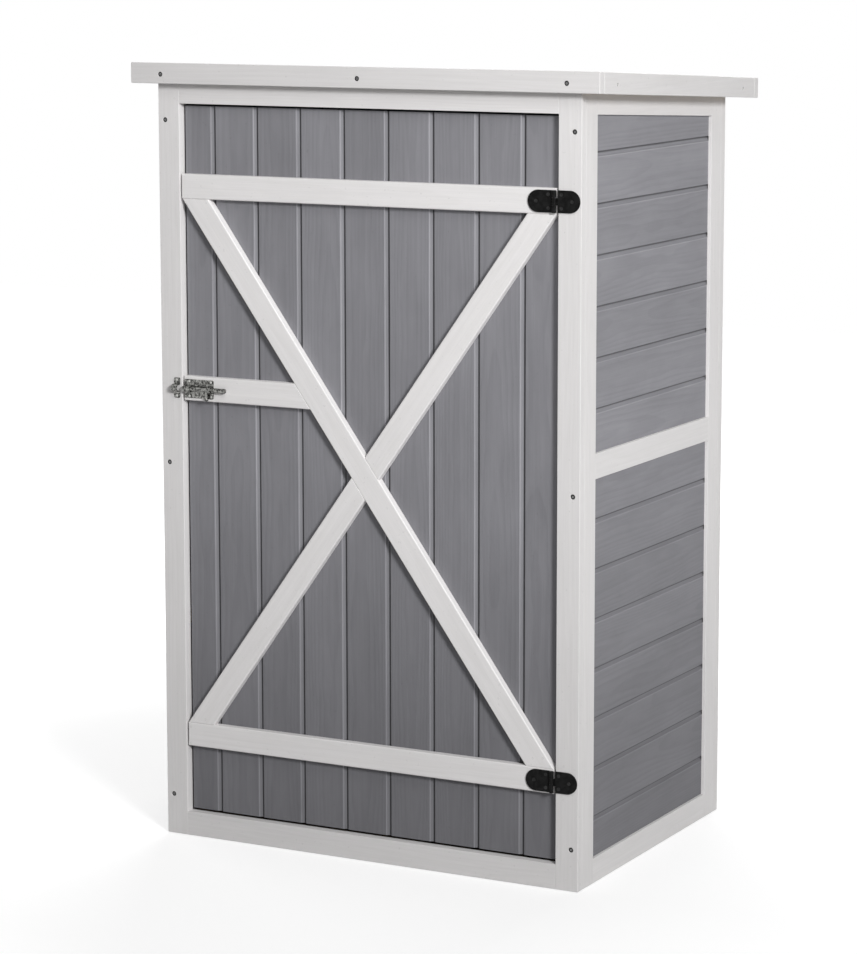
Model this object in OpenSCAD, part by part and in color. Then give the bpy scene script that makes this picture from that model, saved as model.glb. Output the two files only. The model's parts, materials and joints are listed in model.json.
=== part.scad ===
// Small garden storage shed with a ledged and braced door and a roof that falls to the back.
// Millimetres. X runs along the front, Y runs from front to back, Z is up.
// The origin is on the ground, under the middle of the roof.

/* [Overall] */
// Width of the body across its side panels
body_w = 680; // [560:1:900]
// Depth of the body from the front frame to the back frame
body_d = 500; // [420:1:700]
// Height of the roof's top edge at the front
front_h = 1150; // [1050:1:1400]
// How much lower the roof's top edge is at the back
roof_fall = 30; // [12:1:60]
// How far the roof reaches past the back frame
back_overhang = 42; // [20:1:80]
// How far the roof reaches past each side panel
side_overhang = 35; // [20:1:70]

/* [Frame timber] */
// Face width of the front posts and the back stiles
post_w = 35; // [30:0.5:50]
// Face width of the rails, the side stiles, the ledges and the braces
rail_w = 36; // [28:0.5:48]
// Thickness of the front frame
front_t = 15; // [14:0.5:24]
// Thickness of the side panels' frames
side_t = 22; // [18:0.5:30]
// Thickness of the back frame
back_t = 15; // [15:0.5:24]
// Height of the middle of the mid rails above the ground
mid_rail_z = 599.5; // [450:0.5:700]
// Rounding of the front arrises
arris_r = 2; // [0.5:0.5:3]

/* [Shiplap boards] */
// Width of board that shows between two joints
board_pitch = 71.5; // [55:0.5:95]
// Thickness of a board
board_t = 9; // [8:0.5:12]
// Thickness of the tongue along a board's edge
tongue_t = 4.2; // [3:0.1:5]
// How far one board laps behind the next
lap = 8; // [5:0.5:12]
// Width of the cove along each joint
cove_w = 6.5; // [3:0.5:8]
// Depth of the cove
cove_d = 4.1; // [2:0.1:4.5]
// Width of the shadow gap in each joint
joint_gap = 0.6; // [0.3:0.1:1.5]
// How far the boards lie behind the face of the frame
board_recess = 5; // [3:0.5:8]
// How far the boards run into the frame
rebate_w = 10; // [6:0.5:12]
// How far the boards run down into the bottom rails
bottom_rebate_w = 13; // [8:0.5:16]
// Room left around the boards in their rebates
board_fit = 0.5; // [0.3:0.1:1]

/* [Door] */
// Gap around the door in the front frame
door_gap = 3.5; // [2:0.5:5]
// Thickness of the ledges and braces, which lie flush with the front frame
ledge_t = 12; // [10:0.5:14]
// How far the middle door board lies off the middle of the door
door_board_shift = -1.2; // [-10:0.1:10]
// From the door's top and bottom edges to the ledges
ledge_inset = 98; // [60:1:160]
// Height of the middle of the latch ledge above the ground
latch_z = 675.5; // [600:0.5:780]

/* [Floor and shelves] */
// Thickness of the floor boards
floor_t = 10; // [8:0.5:16]
// Height of the floor bearers
bearer_h = 18; // [12:1:24]
// Face width of the floor bearers
bearer_w = 40; // [25:1:60]
// Number of floor boards
floor_boards_n = 7; // [5:1:10]
// Height of the lower shelf's top
lower_shelf_z = 350; // [250:1:420]
// Height of the upper shelf's top
upper_shelf_z = 700; // [620:1:800]
// Thickness of the shelf slats
slat_t = 12; // [9:0.5:18]
// Number of slats in a shelf
slats_n = 6; // [4:1:8]
// Gap between two slats, and between a shelf and the back
slat_gap = 6; // [2:0.5:15]
// Size across the square cleats under the shelves
cleat_w = 20; // [15:1:28]
// From the inside of the door boards to the front slat
shelf_setback = 25; // [10:1:60]
// Room left at the ends of the slats and the floor boards
slat_fit = 0.5; // [0.3:0.1:2]

/* [Roof] */
// Height of the fascia boards
fascia_h = 30; // [28:0.5:60]
// Thickness of the fascia boards
fascia_t = 15; // [10:0.5:19]
// Gap between the front frame and the front fascia
fascia_gap = 3; // [1:0.5:30]
// Thickness of the roof felt
felt_t = 2; // [1.5:0.5:4]
// How far the felt lies below the top of the fascias
felt_drop = 1; // [0.5:0.5:3]
// Thickness of the roof deck
deck_t = 8; // [6:0.5:14]
// Number of boards in the roof deck
deck_boards_n = 5; // [3:1:8]
// Gap between two deck boards or two floor boards
deck_gap = 1; // [0.5:0.5:4]
// Thickness of the battens under the deck
batten_t = 11; // [8:0.5:20]
// Room between the layers of the roof
roof_fit = 0.05; // [0.02:0.01:0.2]
// How far the outer battens reach in past the walls that carry them
batten_lap = 8; // [3:1:30]
// Width of the middle batten
mid_batten_w = 45; // [30:1:80]

/* [Hinges] */
// Height of a hinge
hinge_h = 31; // [24:0.5:40]
// Thickness of a hinge leaf
leaf_t = 2; // [1.5:0.1:2.5]
// Reach of the door leaf from the pin's axis
door_leaf_len = 41; // [34:0.5:60]
// From the end of the post leaf to the outer edge of the post
post_leaf_margin = 1.5; // [0:0.5:4]
// From a leaf's round end to its end screw
hinge_end_screw = 12.4; // [10:0.2:14]
// From the pin's axis to a leaf's pair of screws
hinge_pair_screw = 10; // [8:0.5:14]
// From the middle of a leaf to each screw of its pair
hinge_screw_dz = 9.5; // [6:0.5:11]
// Radius of a hinge knuckle
knuckle_r = 3.2; // [2.8:0.1:4]
// Radius of a hinge pin
pin_r = 1.5; // [1.2:0.1:1.8]
// From the door's edge in to the pin's axis
pin_inset = 1.5; // [0.5:0.5:2.5]
// Gap between moving hinge parts
hinge_gap = 0.4; // [0.3:0.1:0.8]
// Running clearance around a hinge pin
pin_fit = 0.05; // [0.03:0.01:0.1]

/* [Barrel bolt] */
// Height of the bolt's plate
plate_h = 27.5; // [27:0.5:32]
// Thickness of the plate, its guides and the keeper
strap_t = 1.2; // [0.8:0.1:1.6]
// Radius of the bolt
rod_r = 3.5; // [3:0.1:4]
// How far the bolt slides
rod_travel = 23.5; // [21:0.5:24]
// Running clearance around the bolt in its guides
rod_fit = 0.3; // [0.2:0.1:0.5]
// Room around the bolt in the keeper
keeper_room = 1.1; // [0.8:0.1:1.5]
// Length of the guide at the bolt's tip
tip_guide_l = 12; // [8:1:14]
// Length of the guide at the bolt's tail
tail_guide_l = 5; // [4:0.5:8]
// From the guides to the ends of the plate
guide_margin = 1.5; // [0.5:0.5:4]
// Gap between the knob and a guide at each end of the bolt's travel
knob_gap = 0.8; // [0.4:0.1:2]
// From the plate's tip end to its first screws
plate_screw_inset = 8.5; // [6:0.5:12]
// From the plate's tail end to its last screws
plate_tail_screw_inset = 4; // [3.5:0.5:8]
// From the plate's edges to the rims of its screws
plate_screw_rim = 0.4; // [0.2:0.1:1]
// From the door's edge to the plate
plate_margin = 1; // [0:0.5:4]
// Radius of the knob's stem
knob_r = 2.2; // [1.8:0.1:2.4]
// Radius of the ball at the knob's end
knob_ball_r = 2.8; // [2.4:0.1:3.2]
// Reach of the knob below the bolt's axis
knob_reach = 17; // [13:0.5:20]
// Chamfer around the bolt's tip
rod_chamfer = 1.2; // [0.5:0.1:2]
// Width of the keeper
keeper_w = 10; // [8:0.5:12]
// Height of the keeper
keeper_h = 30; // [28:0.5:36]
// From the post's inner edge to the keeper
keeper_margin = 3.5; // [1:0.5:5]
// From the keeper's ends to the rims of its screws
keeper_screw_rim = 0.8; // [0.4:0.1:2]

/* [Screws] */
// Radius of the long screws in the frame and the fascias
long_screw_r = 1.8; // [1.4:0.1:2]
// How far the fascia screws bite into the battens
fascia_screw_bite = 18; // [10:1:24]
// Wood left beyond the points of the other screws
screw_end_wood = 3; // [1:0.5:5]
// Head radius of the long screws
long_head_r = 3.6; // [3:0.1:4]
// Radius of the short screws in the metalwork
short_screw_r = 1.2; // [1:0.1:1.3]
// Head radius of the short screws
short_head_r = 2.4; // [2:0.1:2.5]
// Clearance around every screw in its hole
screw_fit = 0.1; // [0.05:0.05:0.2]
// From the ends of a post to its end screws
post_screw_inset = 60; // [45:1:90]
// From the ends of the front and rear fascias to their end screws
fascia_screw_inset = 50; // [45:1:90]
// From the roof's front and rear edges to the screws of the side fascias
side_fascia_screw_inset = 58; // [45:1:90]

/* [Hidden] */
$fn = 32;

// Colours as the finished shed shows them
white_paint = [0.86, 0.86, 0.85];
grey_stain = [0.46, 0.46, 0.48];
bare_wood = [0.80, 0.68, 0.50];
black_metal = [0.12, 0.12, 0.12];
zinc = [0.66, 0.66, 0.64];
felt_grey = [0.20, 0.21, 0.21];

// Small length by which a cut runs past the face that it opens
cut = 1;
// Height of the rails that are sawn to the roof's slope, before the cut
sawn_rail_h = 2 * rail_w;

// Outline of the body and the roof
half_w = body_w / 2;
front_overhang = fascia_t + fascia_gap;
roof_d = body_d + front_overhang + back_overhang;
roof_half_w = half_w + side_overhang;
roof_half_d = roof_d / 2;
roof_in_x = roof_half_w - fascia_t;
roof_in_y = roof_half_d - fascia_t;
front_y = -roof_half_d + front_overhang;
back_y = front_y + body_d;
frame_back_y = front_y + front_t;
back_frame_y = back_y - back_t;
inner_x = half_w - side_t;

// Layers of the roof, as drops below its top plane
deck_drop = felt_drop + felt_t + roof_fit;
batten_drop = deck_drop + deck_t + roof_fit;
wall_drop = batten_drop + batten_t + roof_fit;
rail_drop = wall_drop + rail_w;
function roof_z(y) = front_h - roof_fall * (y + roof_half_d) / roof_d;
function drop_z(y, drop) = roof_z(y) - drop;

// Rails of all three framed panels
mid_rail_bottom = mid_rail_z - rail_w / 2;
mid_rail_top = mid_rail_z + rail_w / 2;

// Openings of the side panels between their stiles
side_open_y0 = frame_back_y + rail_w;
side_open_y1 = back_frame_y - rail_w;
side_face_x = half_w - board_recess;

// Opening of the back panel between its stiles, which are as wide as the posts
back_open_x = half_w - post_w;
back_face_y = back_y - board_recess;
back_inner_y = min(back_frame_y, back_face_y - board_t);

// Door and its opening
open_x = back_open_x;
header_z = drop_z(front_y, rail_drop);
door_x = open_x - door_gap;
door_z0 = rail_w + door_gap;
door_z1 = header_z - door_gap;
door_face_y = front_y + ledge_t;
door_back_y = door_face_y + board_t;
top_ledge_z = door_z1 - ledge_inset - rail_w / 2;
bottom_ledge_z = door_z0 + ledge_inset + rail_w / 2;

// Braces between the top and bottom ledges, cut level at their ends
brace_z0 = bottom_ledge_z + rail_w / 2;
brace_z1 = top_ledge_z - rail_w / 2;
brace_rise = brace_z1 - brace_z0;
brace_span = 2 * door_x;
brace_foot = (rail_w * sqrt(pow(rail_w * brace_span, 2)
    + (pow(brace_rise, 2) - pow(rail_w, 2)) * (pow(brace_span, 2) + pow(brace_rise, 2)))
    - pow(rail_w, 2) * brace_span) / (pow(brace_rise, 2) - pow(rail_w, 2));
brace_angle = atan2(brace_rise, brace_span - brace_foot);
brace_mid_z = (brace_z0 + brace_z1) / 2;

// Hinges
pin_x = door_x - pin_inset;
pin_y = front_y - knuckle_r - hinge_gap / 2;
knuckle_h = (hinge_h - 2 * hinge_gap) / 3;
post_leaf_len = half_w - post_leaf_margin - pin_x;

// Barrel bolt, with its tip level with the door's edge when drawn back
rod_y = front_y - strap_t - rod_fit - rod_r;
rod_tip_x = -door_x;
plate_x0 = -door_x + plate_margin;
tip_guide_x0 = plate_x0 + guide_margin;
tip_guide_x1 = tip_guide_x0 + tip_guide_l;
knob_x = tip_guide_x1 + knob_gap + knob_r + rod_travel;
tail_guide_x0 = knob_x + knob_r + knob_gap;
tail_guide_x1 = tail_guide_x0 + tail_guide_l;
plate_x1 = tail_guide_x1 + guide_margin;
rod_l = tail_guide_x1 + rod_travel - rod_tip_x;
plate_screw_x = [plate_x0 + plate_screw_inset, plate_x1 - plate_tail_screw_inset];
plate_screw_dz = plate_h / 2 - short_head_r - plate_screw_rim;
keeper_x1 = -open_x - keeper_margin;
keeper_x0 = keeper_x1 - keeper_w;
keeper_x = (keeper_x0 + keeper_x1) / 2;
keeper_screw_dz = keeper_h / 2 - short_head_r - keeper_screw_rim;

// Screws
frame_screw_l = min(front_t, back_t) + rail_w - rebate_w - screw_end_wood;
fascia_screw_l = fascia_t + fascia_screw_bite;
short_screw_l = min(front_t, ledge_t) + strap_t - screw_end_wood;
frame_screw_x = half_w - side_t / 2;
frame_screw_z = [
    post_screw_inset,
    drop_z(front_y, wall_drop) / 2,
    drop_z(front_y, wall_drop) - post_screw_inset
];
back_screw_z = [
    post_screw_inset,
    drop_z(back_y, wall_drop) / 2,
    drop_z(back_y, wall_drop) - post_screw_inset
];
fascia_screw_drop = batten_drop + batten_t / 2;
fascia_screw_x = [-roof_half_w + fascia_screw_inset, 0, roof_half_w - fascia_screw_inset];
fascia_screw_y = [-roof_half_d + side_fascia_screw_inset, roof_half_d - side_fascia_screw_inset];

// Floor and shelves
floor_y0 = frame_back_y + slat_fit;
floor_y1 = back_inner_y - slat_fit;
shelf_y0 = door_back_y + shelf_setback;
shelf_y1 = back_inner_y - slat_gap;
cleat_y0 = door_back_y + slat_gap;
cleat_y1 = back_inner_y - slat_fit;

// Extrudes a profile drawn in Y and Z from x0 to x1
module yz_prism(x0, x1) {
    translate([x0, 0, 0])
        rotate([90, 0, 90])
            linear_extrude(x1 - x0)
                children();
}

// Extrudes a profile drawn in X and Z from y0 to y1
module xz_prism(y0, y1) {
    translate([0, y1, 0])
        rotate([90, 0, 0])
            linear_extrude(y1 - y0)
                children();
}

// Slab whose top and bottom run parallel to the roof
module roof_slab(x0, x1, y0, y1, top_drop, bottom_drop) {
    yz_prism(x0, x1)
        polygon([
            [y0, drop_z(y0, bottom_drop)],
            [y1, drop_z(y1, bottom_drop)],
            [y1, drop_z(y1, top_drop)],
            [y0, drop_z(y0, top_drop)]
        ]);
}

// Upright that stands on the ground and is cut off under the roof battens
module upright(x0, x1, y0, y1) {
    yz_prism(x0, x1)
        polygon([
            [y0, 0],
            [y1, 0],
            [y1, drop_z(y1, wall_drop)],
            [y0, drop_z(y0, wall_drop)]
        ]);
}

// Level block between two corners
module block(x0, x1, y0, y1, z0, z1) {
    translate([x0, y0, z0])
        cube([x1 - x0, y1 - y0, z1 - z0]);
}

// Section of a bar whose two front arrises are rounded; the front lies along Y = 0
module soft_section(w, t) {
    translate([0, arris_r])
        square([w, t - arris_r]);
    translate([arris_r, 0])
        square([w - 2 * arris_r, arris_r + cut / 2]);
    for (x = [arris_r, w - arris_r])
        translate([x, arris_r])
            circle(arris_r);
}

// Screw with a countersunk head, pointing along +Y from the face at Y = 0
// A hole for it is the same shape, larger by fit
module screw(length, shank_r, head_r, fit) {
    head_h = head_r - shank_r;
    rotate([-90, 0, 0]) {
        cylinder(h = length + fit, r = shank_r + fit);
        cylinder(h = head_h, r1 = head_r + fit, r2 = shank_r + fit);
    }
}

module frame_screw(fit = 0) {
    screw(frame_screw_l, long_screw_r, long_head_r, fit);
}

module fascia_screw(fit = 0) {
    screw(fascia_screw_l, long_screw_r, long_head_r, fit);
}

module short_screw(fit = 0) {
    screw(short_screw_l, short_screw_r, short_head_r, fit);
}

// Section of one shiplap board: [across the boards, depth behind the face]
// The tongue lies behind the next board's lip, and a cove eases the joint between them
lip_t = board_t - tongue_t - joint_gap / 2;
cove_end_d = min(cove_d, lip_t);
shiplap = concat(
    [
        [joint_gap, 0],
        [joint_gap, lip_t],
        [lap + joint_gap, lip_t],
        [lap + joint_gap, board_t],
        [board_pitch + lap, board_t],
        [board_pitch + lap, board_t - tongue_t],
        [board_pitch, board_t - tongue_t]
    ],
    [for (a = [90:-15:0]) [board_pitch - cove_w * cos(a), cove_end_d * sin(a)]]
);

// Places where the long screws of the front and back frames go
module at_frame_screws() {
    for (side = [-1, 1]) {
        for (z = frame_screw_z)
            translate([side * frame_screw_x, front_y, z])
                children();
        for (z = back_screw_z)
            translate([side * frame_screw_x, back_y, z])
                mirror([0, 1, 0])
                    children();
    }
}

// Places where the long screws of the fascias go
module at_fascia_screws() {
    for (x = fascia_screw_x) {
        translate([x, -roof_half_d, drop_z(-roof_half_d, fascia_screw_drop)])
            children();
        translate([x, roof_half_d, drop_z(roof_half_d, fascia_screw_drop)])
            mirror([0, 1, 0])
                children();
    }
    for (y = fascia_screw_y, side = [-1, 1])
        translate([side * roof_half_w, y, drop_z(y, fascia_screw_drop)])
            rotate([0, 0, side * 90])
                children();
}

// Front frame: posts, header and sill

module front_post_right() {
    color(white_paint)
        difference() {
            intersection() {
                upright(open_x, half_w, front_y, frame_back_y);
                translate([open_x, front_y, 0])
                    linear_extrude(front_h)
                        soft_section(post_w, front_t);
            }
            at_frame_screws()
                frame_screw(screw_fit);
            at_hinge_post_screws()
                short_screw(screw_fit);
        }
}

module front_post_left() {
    color(white_paint)
        difference() {
            intersection() {
                upright(-half_w, -open_x, front_y, frame_back_y);
                translate([-half_w, front_y, 0])
                    linear_extrude(front_h)
                        soft_section(post_w, front_t);
            }
            at_frame_screws()
                frame_screw(screw_fit);
            at_keeper_screws()
                short_screw(screw_fit);
        }
}

module front_header() {
    color(white_paint)
        intersection() {
            roof_slab(-open_x, open_x, front_y, frame_back_y, wall_drop, wall_drop + sawn_rail_h);
            translate([open_x, front_y, header_z])
                rotate([0, -90, 0])
                    linear_extrude(2 * open_x)
                        soft_section(sawn_rail_h, front_t);
        }
}

module front_sill() {
    color(white_paint)
        translate([open_x, front_y, 0])
            rotate([0, -90, 0])
                linear_extrude(2 * open_x)
                    soft_section(rail_w, front_t);
}

// Side panels. Each is drawn on the right, and the left one is its mirror image

// Space that the upper boards fill in the frame, from x0 to x1
module side_upper_space(x0, x1, room) {
    y0 = side_open_y0 - rebate_w + room;
    y1 = side_open_y1 + rebate_w - room;
    yz_prism(x0, x1)
        polygon([
            [y0, mid_rail_top - rebate_w + room],
            [y1, mid_rail_top - rebate_w + room],
            [y1, drop_z(y1, rail_drop - rebate_w + room)],
            [y0, drop_z(y0, rail_drop - rebate_w + room)]
        ]);
}

// Space that the lower boards fill in the frame, from x0 to x1
module side_lower_space(x0, x1, room) {
    block(x0, x1,
        side_open_y0 - rebate_w + room, side_open_y1 + rebate_w - room,
        rail_w - bottom_rebate_w + room, mid_rail_bottom + rebate_w - room);
}

// Rebates for the boards, open to the inside of the shed
module side_rebates() {
    side_upper_space(inner_x - cut, side_face_x, 0);
    side_lower_space(inner_x - cut, side_face_x, 0);
}

module side_front_stile() {
    difference() {
        upright(inner_x, half_w, frame_back_y, side_open_y0);
        side_rebates();
        at_frame_screws()
            frame_screw(screw_fit);
    }
}

module side_rear_stile() {
    difference() {
        upright(inner_x, half_w, side_open_y1, back_frame_y);
        side_rebates();
        at_frame_screws()
            frame_screw(screw_fit);
    }
}

module side_top_rail() {
    difference() {
        roof_slab(inner_x, half_w, side_open_y0, side_open_y1, wall_drop, rail_drop);
        side_rebates();
    }
}

module side_mid_rail() {
    difference() {
        block(inner_x, half_w, side_open_y0, side_open_y1, mid_rail_bottom, mid_rail_top);
        side_rebates();
    }
}

module side_bottom_rail() {
    difference() {
        block(inner_x, half_w, side_open_y0, side_open_y1, 0, rail_w);
        side_rebates();
    }
}

// Rows of level shiplap boards from z0 up to z1, with their faces on the side panel's board line
module side_board_rows(z0, z1) {
    rows = ceil((z1 - z0) / board_pitch);
    for (row = [0 : rows - 1])
        xz_prism(side_open_y0 - rebate_w, side_open_y1 + rebate_w)
            polygon([for (p = shiplap) [side_face_x - p[1], z0 + row * board_pitch + p[0]]]);
}

module side_upper_boards() {
    intersection() {
        side_board_rows(mid_rail_top - rebate_w, drop_z(side_open_y0, rail_drop - rebate_w));
        side_upper_space(side_face_x - board_t, side_face_x, board_fit);
    }
}

module side_lower_boards() {
    intersection() {
        side_board_rows(rail_w - bottom_rebate_w, mid_rail_bottom + rebate_w);
        side_lower_space(side_face_x - board_t, side_face_x, board_fit);
    }
}

module on_left() {
    mirror([1, 0, 0])
        children();
}

module right_front_stile() {
    color(white_paint)
        side_front_stile();
}

module right_rear_stile() {
    color(white_paint)
        side_rear_stile();
}

module right_top_rail() {
    color(white_paint)
        side_top_rail();
}

module right_mid_rail() {
    color(white_paint)
        side_mid_rail();
}

module right_bottom_rail() {
    color(white_paint)
        side_bottom_rail();
}

module right_upper_boards() {
    color(grey_stain)
        side_upper_boards();
}

module right_lower_boards() {
    color(grey_stain)
        side_lower_boards();
}

module left_front_stile() {
    color(white_paint)
        on_left()
            side_front_stile();
}

module left_rear_stile() {
    color(white_paint)
        on_left()
            side_rear_stile();
}

module left_top_rail() {
    color(white_paint)
        on_left()
            side_top_rail();
}

module left_mid_rail() {
    color(white_paint)
        on_left()
            side_mid_rail();
}

module left_bottom_rail() {
    color(white_paint)
        on_left()
            side_bottom_rail();
}

module left_upper_boards() {
    color(grey_stain)
        on_left()
            side_upper_boards();
}

module left_lower_boards() {
    color(grey_stain)
        on_left()
            side_lower_boards();
}

// Back panel

// Space that the back panel's upper boards fill, from y0 to y1
module back_upper_space(y0, y1, room) {
    half = back_open_x + rebate_w - room;
    block(-half, half, y0, y1,
        mid_rail_top - rebate_w + room, drop_z(back_y, rail_drop - rebate_w + room));
}

// Space that the back panel's lower boards fill, from y0 to y1
module back_lower_space(y0, y1, room) {
    half = back_open_x + rebate_w - room;
    block(-half, half, y0, y1,
        rail_w - bottom_rebate_w + room, mid_rail_bottom + rebate_w - room);
}

module back_rebates() {
    back_upper_space(back_frame_y - cut, back_face_y, 0);
    back_lower_space(back_frame_y - cut, back_face_y, 0);
}

module back_stile() {
    difference() {
        upright(back_open_x, half_w, back_frame_y, back_y);
        back_rebates();
        at_frame_screws()
            frame_screw(screw_fit);
    }
}

module back_stile_right() {
    color(white_paint)
        back_stile();
}

module back_stile_left() {
    color(white_paint)
        on_left()
            back_stile();
}

module back_top_rail() {
    color(white_paint)
        difference() {
            intersection() {
                roof_slab(-back_open_x, back_open_x, back_frame_y, back_y,
                    wall_drop, wall_drop + sawn_rail_h);
                block(-half_w, half_w, back_frame_y, back_y, drop_z(back_y, rail_drop), front_h);
            }
            back_rebates();
        }
}

module back_mid_rail() {
    color(white_paint)
        difference() {
            block(-back_open_x, back_open_x, back_frame_y, back_y, mid_rail_bottom, mid_rail_top);
            back_rebates();
        }
}

module back_bottom_rail() {
    color(white_paint)
        difference() {
            block(-back_open_x, back_open_x, back_frame_y, back_y, 0, rail_w);
            back_rebates();
        }
}

// Rows of level shiplap boards from z0 up to z1 on the back panel's board line
module back_board_rows(z0, z1) {
    rows = ceil((z1 - z0) / board_pitch);
    for (row = [0 : rows - 1])
        yz_prism(-half_w, half_w)
            polygon([for (p = shiplap) [back_face_y - p[1], z0 + row * board_pitch + p[0]]]);
}

module back_upper_boards() {
    color(grey_stain)
        intersection() {
            back_board_rows(mid_rail_top - rebate_w, drop_z(back_y, rail_drop - rebate_w));
            back_upper_space(back_face_y - board_t, back_face_y, board_fit);
        }
}

module back_lower_boards() {
    color(grey_stain)
        intersection() {
            back_board_rows(rail_w - bottom_rebate_w, mid_rail_bottom + rebate_w);
            back_lower_space(back_face_y - board_t, back_face_y, board_fit);
        }
}

// Floor and shelves

module floor_bearers() {
    reach = inner_x - bearer_w / 2 - slat_fit;
    color(bare_wood)
        for (x = [-reach, 0, reach])
            block(x - bearer_w / 2, x + bearer_w / 2, floor_y0, floor_y1, 0, bearer_h);
}

// Row of boards along X that fills y0 to y1 with gaps between them
module board_row(count, gap, half_l, y0, y1, z0, z1) {
    board_w = (y1 - y0 - (count - 1) * gap) / count;
    for (i = [0 : count - 1])
        block(-half_l, half_l, y0 + i * (board_w + gap), y0 + i * (board_w + gap) + board_w, z0, z1);
}

module floor_boards() {
    color(bare_wood)
        board_row(floor_boards_n, deck_gap, inner_x - slat_fit,
            floor_y0, floor_y1, bearer_h, bearer_h + floor_t);
}

module shelf_cleats(top_z) {
    color(bare_wood)
        for (side = [0, 1])
            mirror([side, 0, 0])
                block(inner_x - cleat_w, inner_x, cleat_y0, cleat_y1,
                    top_z - slat_t - cleat_w, top_z - slat_t);
}

module shelf_slats(top_z) {
    color(bare_wood)
        board_row(slats_n, slat_gap, inner_x - slat_fit, shelf_y0, shelf_y1, top_z - slat_t, top_z);
}

module lower_shelf_cleats() {
    shelf_cleats(lower_shelf_z);
}

module lower_shelf_slats() {
    shelf_slats(lower_shelf_z);
}

module upper_shelf_cleats() {
    shelf_cleats(upper_shelf_z);
}

module upper_shelf_slats() {
    shelf_slats(upper_shelf_z);
}

// Roof: a framed deck that rests on the walls, with felt on top and fascias around it

// Batten under the deck between two corners
module batten(x0, x1, y0, y1) {
    roof_slab(x0, x1, y0, y1, batten_drop, batten_drop + batten_t);
}

module roof_battens() {
    front_batten_y = frame_back_y + batten_lap;
    rear_batten_y = back_frame_y - batten_lap;
    side_batten_x = inner_x - batten_lap;
    color(bare_wood)
        difference() {
            union() {
                batten(-roof_in_x, roof_in_x, -roof_in_y, front_batten_y);
                batten(-roof_in_x, roof_in_x, rear_batten_y, roof_in_y);
                for (edges = [
                    [-roof_in_x, -side_batten_x],
                    [-mid_batten_w / 2, mid_batten_w / 2],
                    [side_batten_x, roof_in_x]
                ])
                    batten(edges[0], edges[1], front_batten_y + slat_fit, rear_batten_y - slat_fit);
            }
            at_fascia_screws()
                fascia_screw(screw_fit);
        }
}

module roof_deck() {
    board_w = (2 * roof_in_y - (deck_boards_n - 1) * deck_gap) / deck_boards_n;
    color(bare_wood)
        for (i = [0 : deck_boards_n - 1]) {
            y = -roof_in_y + i * (board_w + deck_gap);
            roof_slab(-roof_in_x, roof_in_x, y, y + board_w, deck_drop, deck_drop + deck_t);
        }
}

module roof_felt() {
    color(felt_grey)
        roof_slab(-roof_in_x, roof_in_x, -roof_in_y, roof_in_y, felt_drop, felt_drop + felt_t);
}

module fascia(x0, x1, y0, y1) {
    color(white_paint)
        difference() {
            roof_slab(x0, x1, y0, y1, 0, fascia_h);
            at_fascia_screws()
                fascia_screw(screw_fit);
        }
}

module front_fascia() {
    fascia(-roof_half_w, roof_half_w, -roof_half_d, -roof_in_y);
}

module rear_fascia() {
    fascia(-roof_half_w, roof_half_w, roof_in_y, roof_half_d);
}

module left_fascia() {
    fascia(-roof_half_w, -roof_in_x, -roof_in_y, roof_in_y);
}

module right_fascia() {
    fascia(roof_in_x, roof_half_w, -roof_in_y, roof_in_y);
}

module frame_screws() {
    color(black_metal)
        at_frame_screws()
            frame_screw();
}

module fascia_screws() {
    color(black_metal)
        at_fascia_screws()
            fascia_screw();
}

// Door: shiplap boards on three ledges, with one full brace and two half braces

// Row of upright shiplap boards across the door, with one board near its middle
module door_boards() {
    reach = door_x + abs(door_board_shift);
    count = 2 * ceil((reach - board_pitch / 2) / board_pitch) + 1;
    color(grey_stain)
        intersection() {
            for (i = [0 : count - 1]) {
                x = (i - count / 2) * board_pitch + door_board_shift;
                translate([0, 0, door_z0])
                    linear_extrude(door_z1 - door_z0)
                        polygon([for (p = shiplap) [x + p[0], door_face_y + p[1]]]);
            }
            block(-door_x, door_x, door_face_y, door_back_y, door_z0, door_z1);
        }
}

// Level ledge across the door, with its middle at height z
module ledge(z) {
    translate([door_x, front_y, z - rail_w / 2])
        rotate([0, -90, 0])
            linear_extrude(2 * door_x)
                soft_section(rail_w, ledge_t);
}

module top_ledge() {
    color(white_paint)
        difference() {
            ledge(top_ledge_z);
            at_hinge_door_screws()
                short_screw(screw_fit);
        }
}

module bottom_ledge() {
    color(white_paint)
        difference() {
            ledge(bottom_ledge_z);
            at_hinge_door_screws()
                short_screw(screw_fit);
        }
}

module latch_ledge() {
    color(white_paint)
        difference() {
            intersection() {
                ledge(latch_z);
                full_brace_latch_side();
            }
            at_plate_screws()
                short_screw(screw_fit);
        }
}

// Everything between the ledges on the latch side of the full brace
module full_brace_latch_side() {
    xz_prism(front_y - cut, door_face_y + cut)
        polygon([
            [-door_x - cut, brace_z1],
            [-door_x, brace_z1],
            [door_x - brace_foot, brace_z0],
            [-door_x - cut, brace_z0]
        ]);
}

// Everything between the ledges on the hinge side of the full brace
module full_brace_hinge_side() {
    xz_prism(front_y - cut, door_face_y + cut)
        polygon([
            [door_x + cut, brace_z1],
            [-door_x + brace_foot, brace_z1],
            [door_x, brace_z0],
            [door_x + cut, brace_z0]
        ]);
}

// Bar that runs from ledge to ledge; direction -1 falls to the right, 1 rises to the right
module brace_bar(direction) {
    length = 2 * door_x + brace_rise;
    intersection() {
        translate([0, front_y, brace_mid_z])
            rotate([0, -direction * brace_angle, 0])
                translate([length / 2, 0, -rail_w / 2])
                    rotate([0, -90, 0])
                        linear_extrude(length)
                            soft_section(rail_w, ledge_t);
        block(-door_x, door_x, front_y, door_face_y, brace_z0, brace_z1);
    }
}

module full_brace() {
    color(white_paint)
        brace_bar(-1);
}

module lower_brace() {
    color(white_paint)
        intersection() {
            brace_bar(1);
            full_brace_latch_side();
        }
}

module upper_brace() {
    color(white_paint)
        intersection() {
            brace_bar(1);
            full_brace_hinge_side();
        }
}

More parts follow.
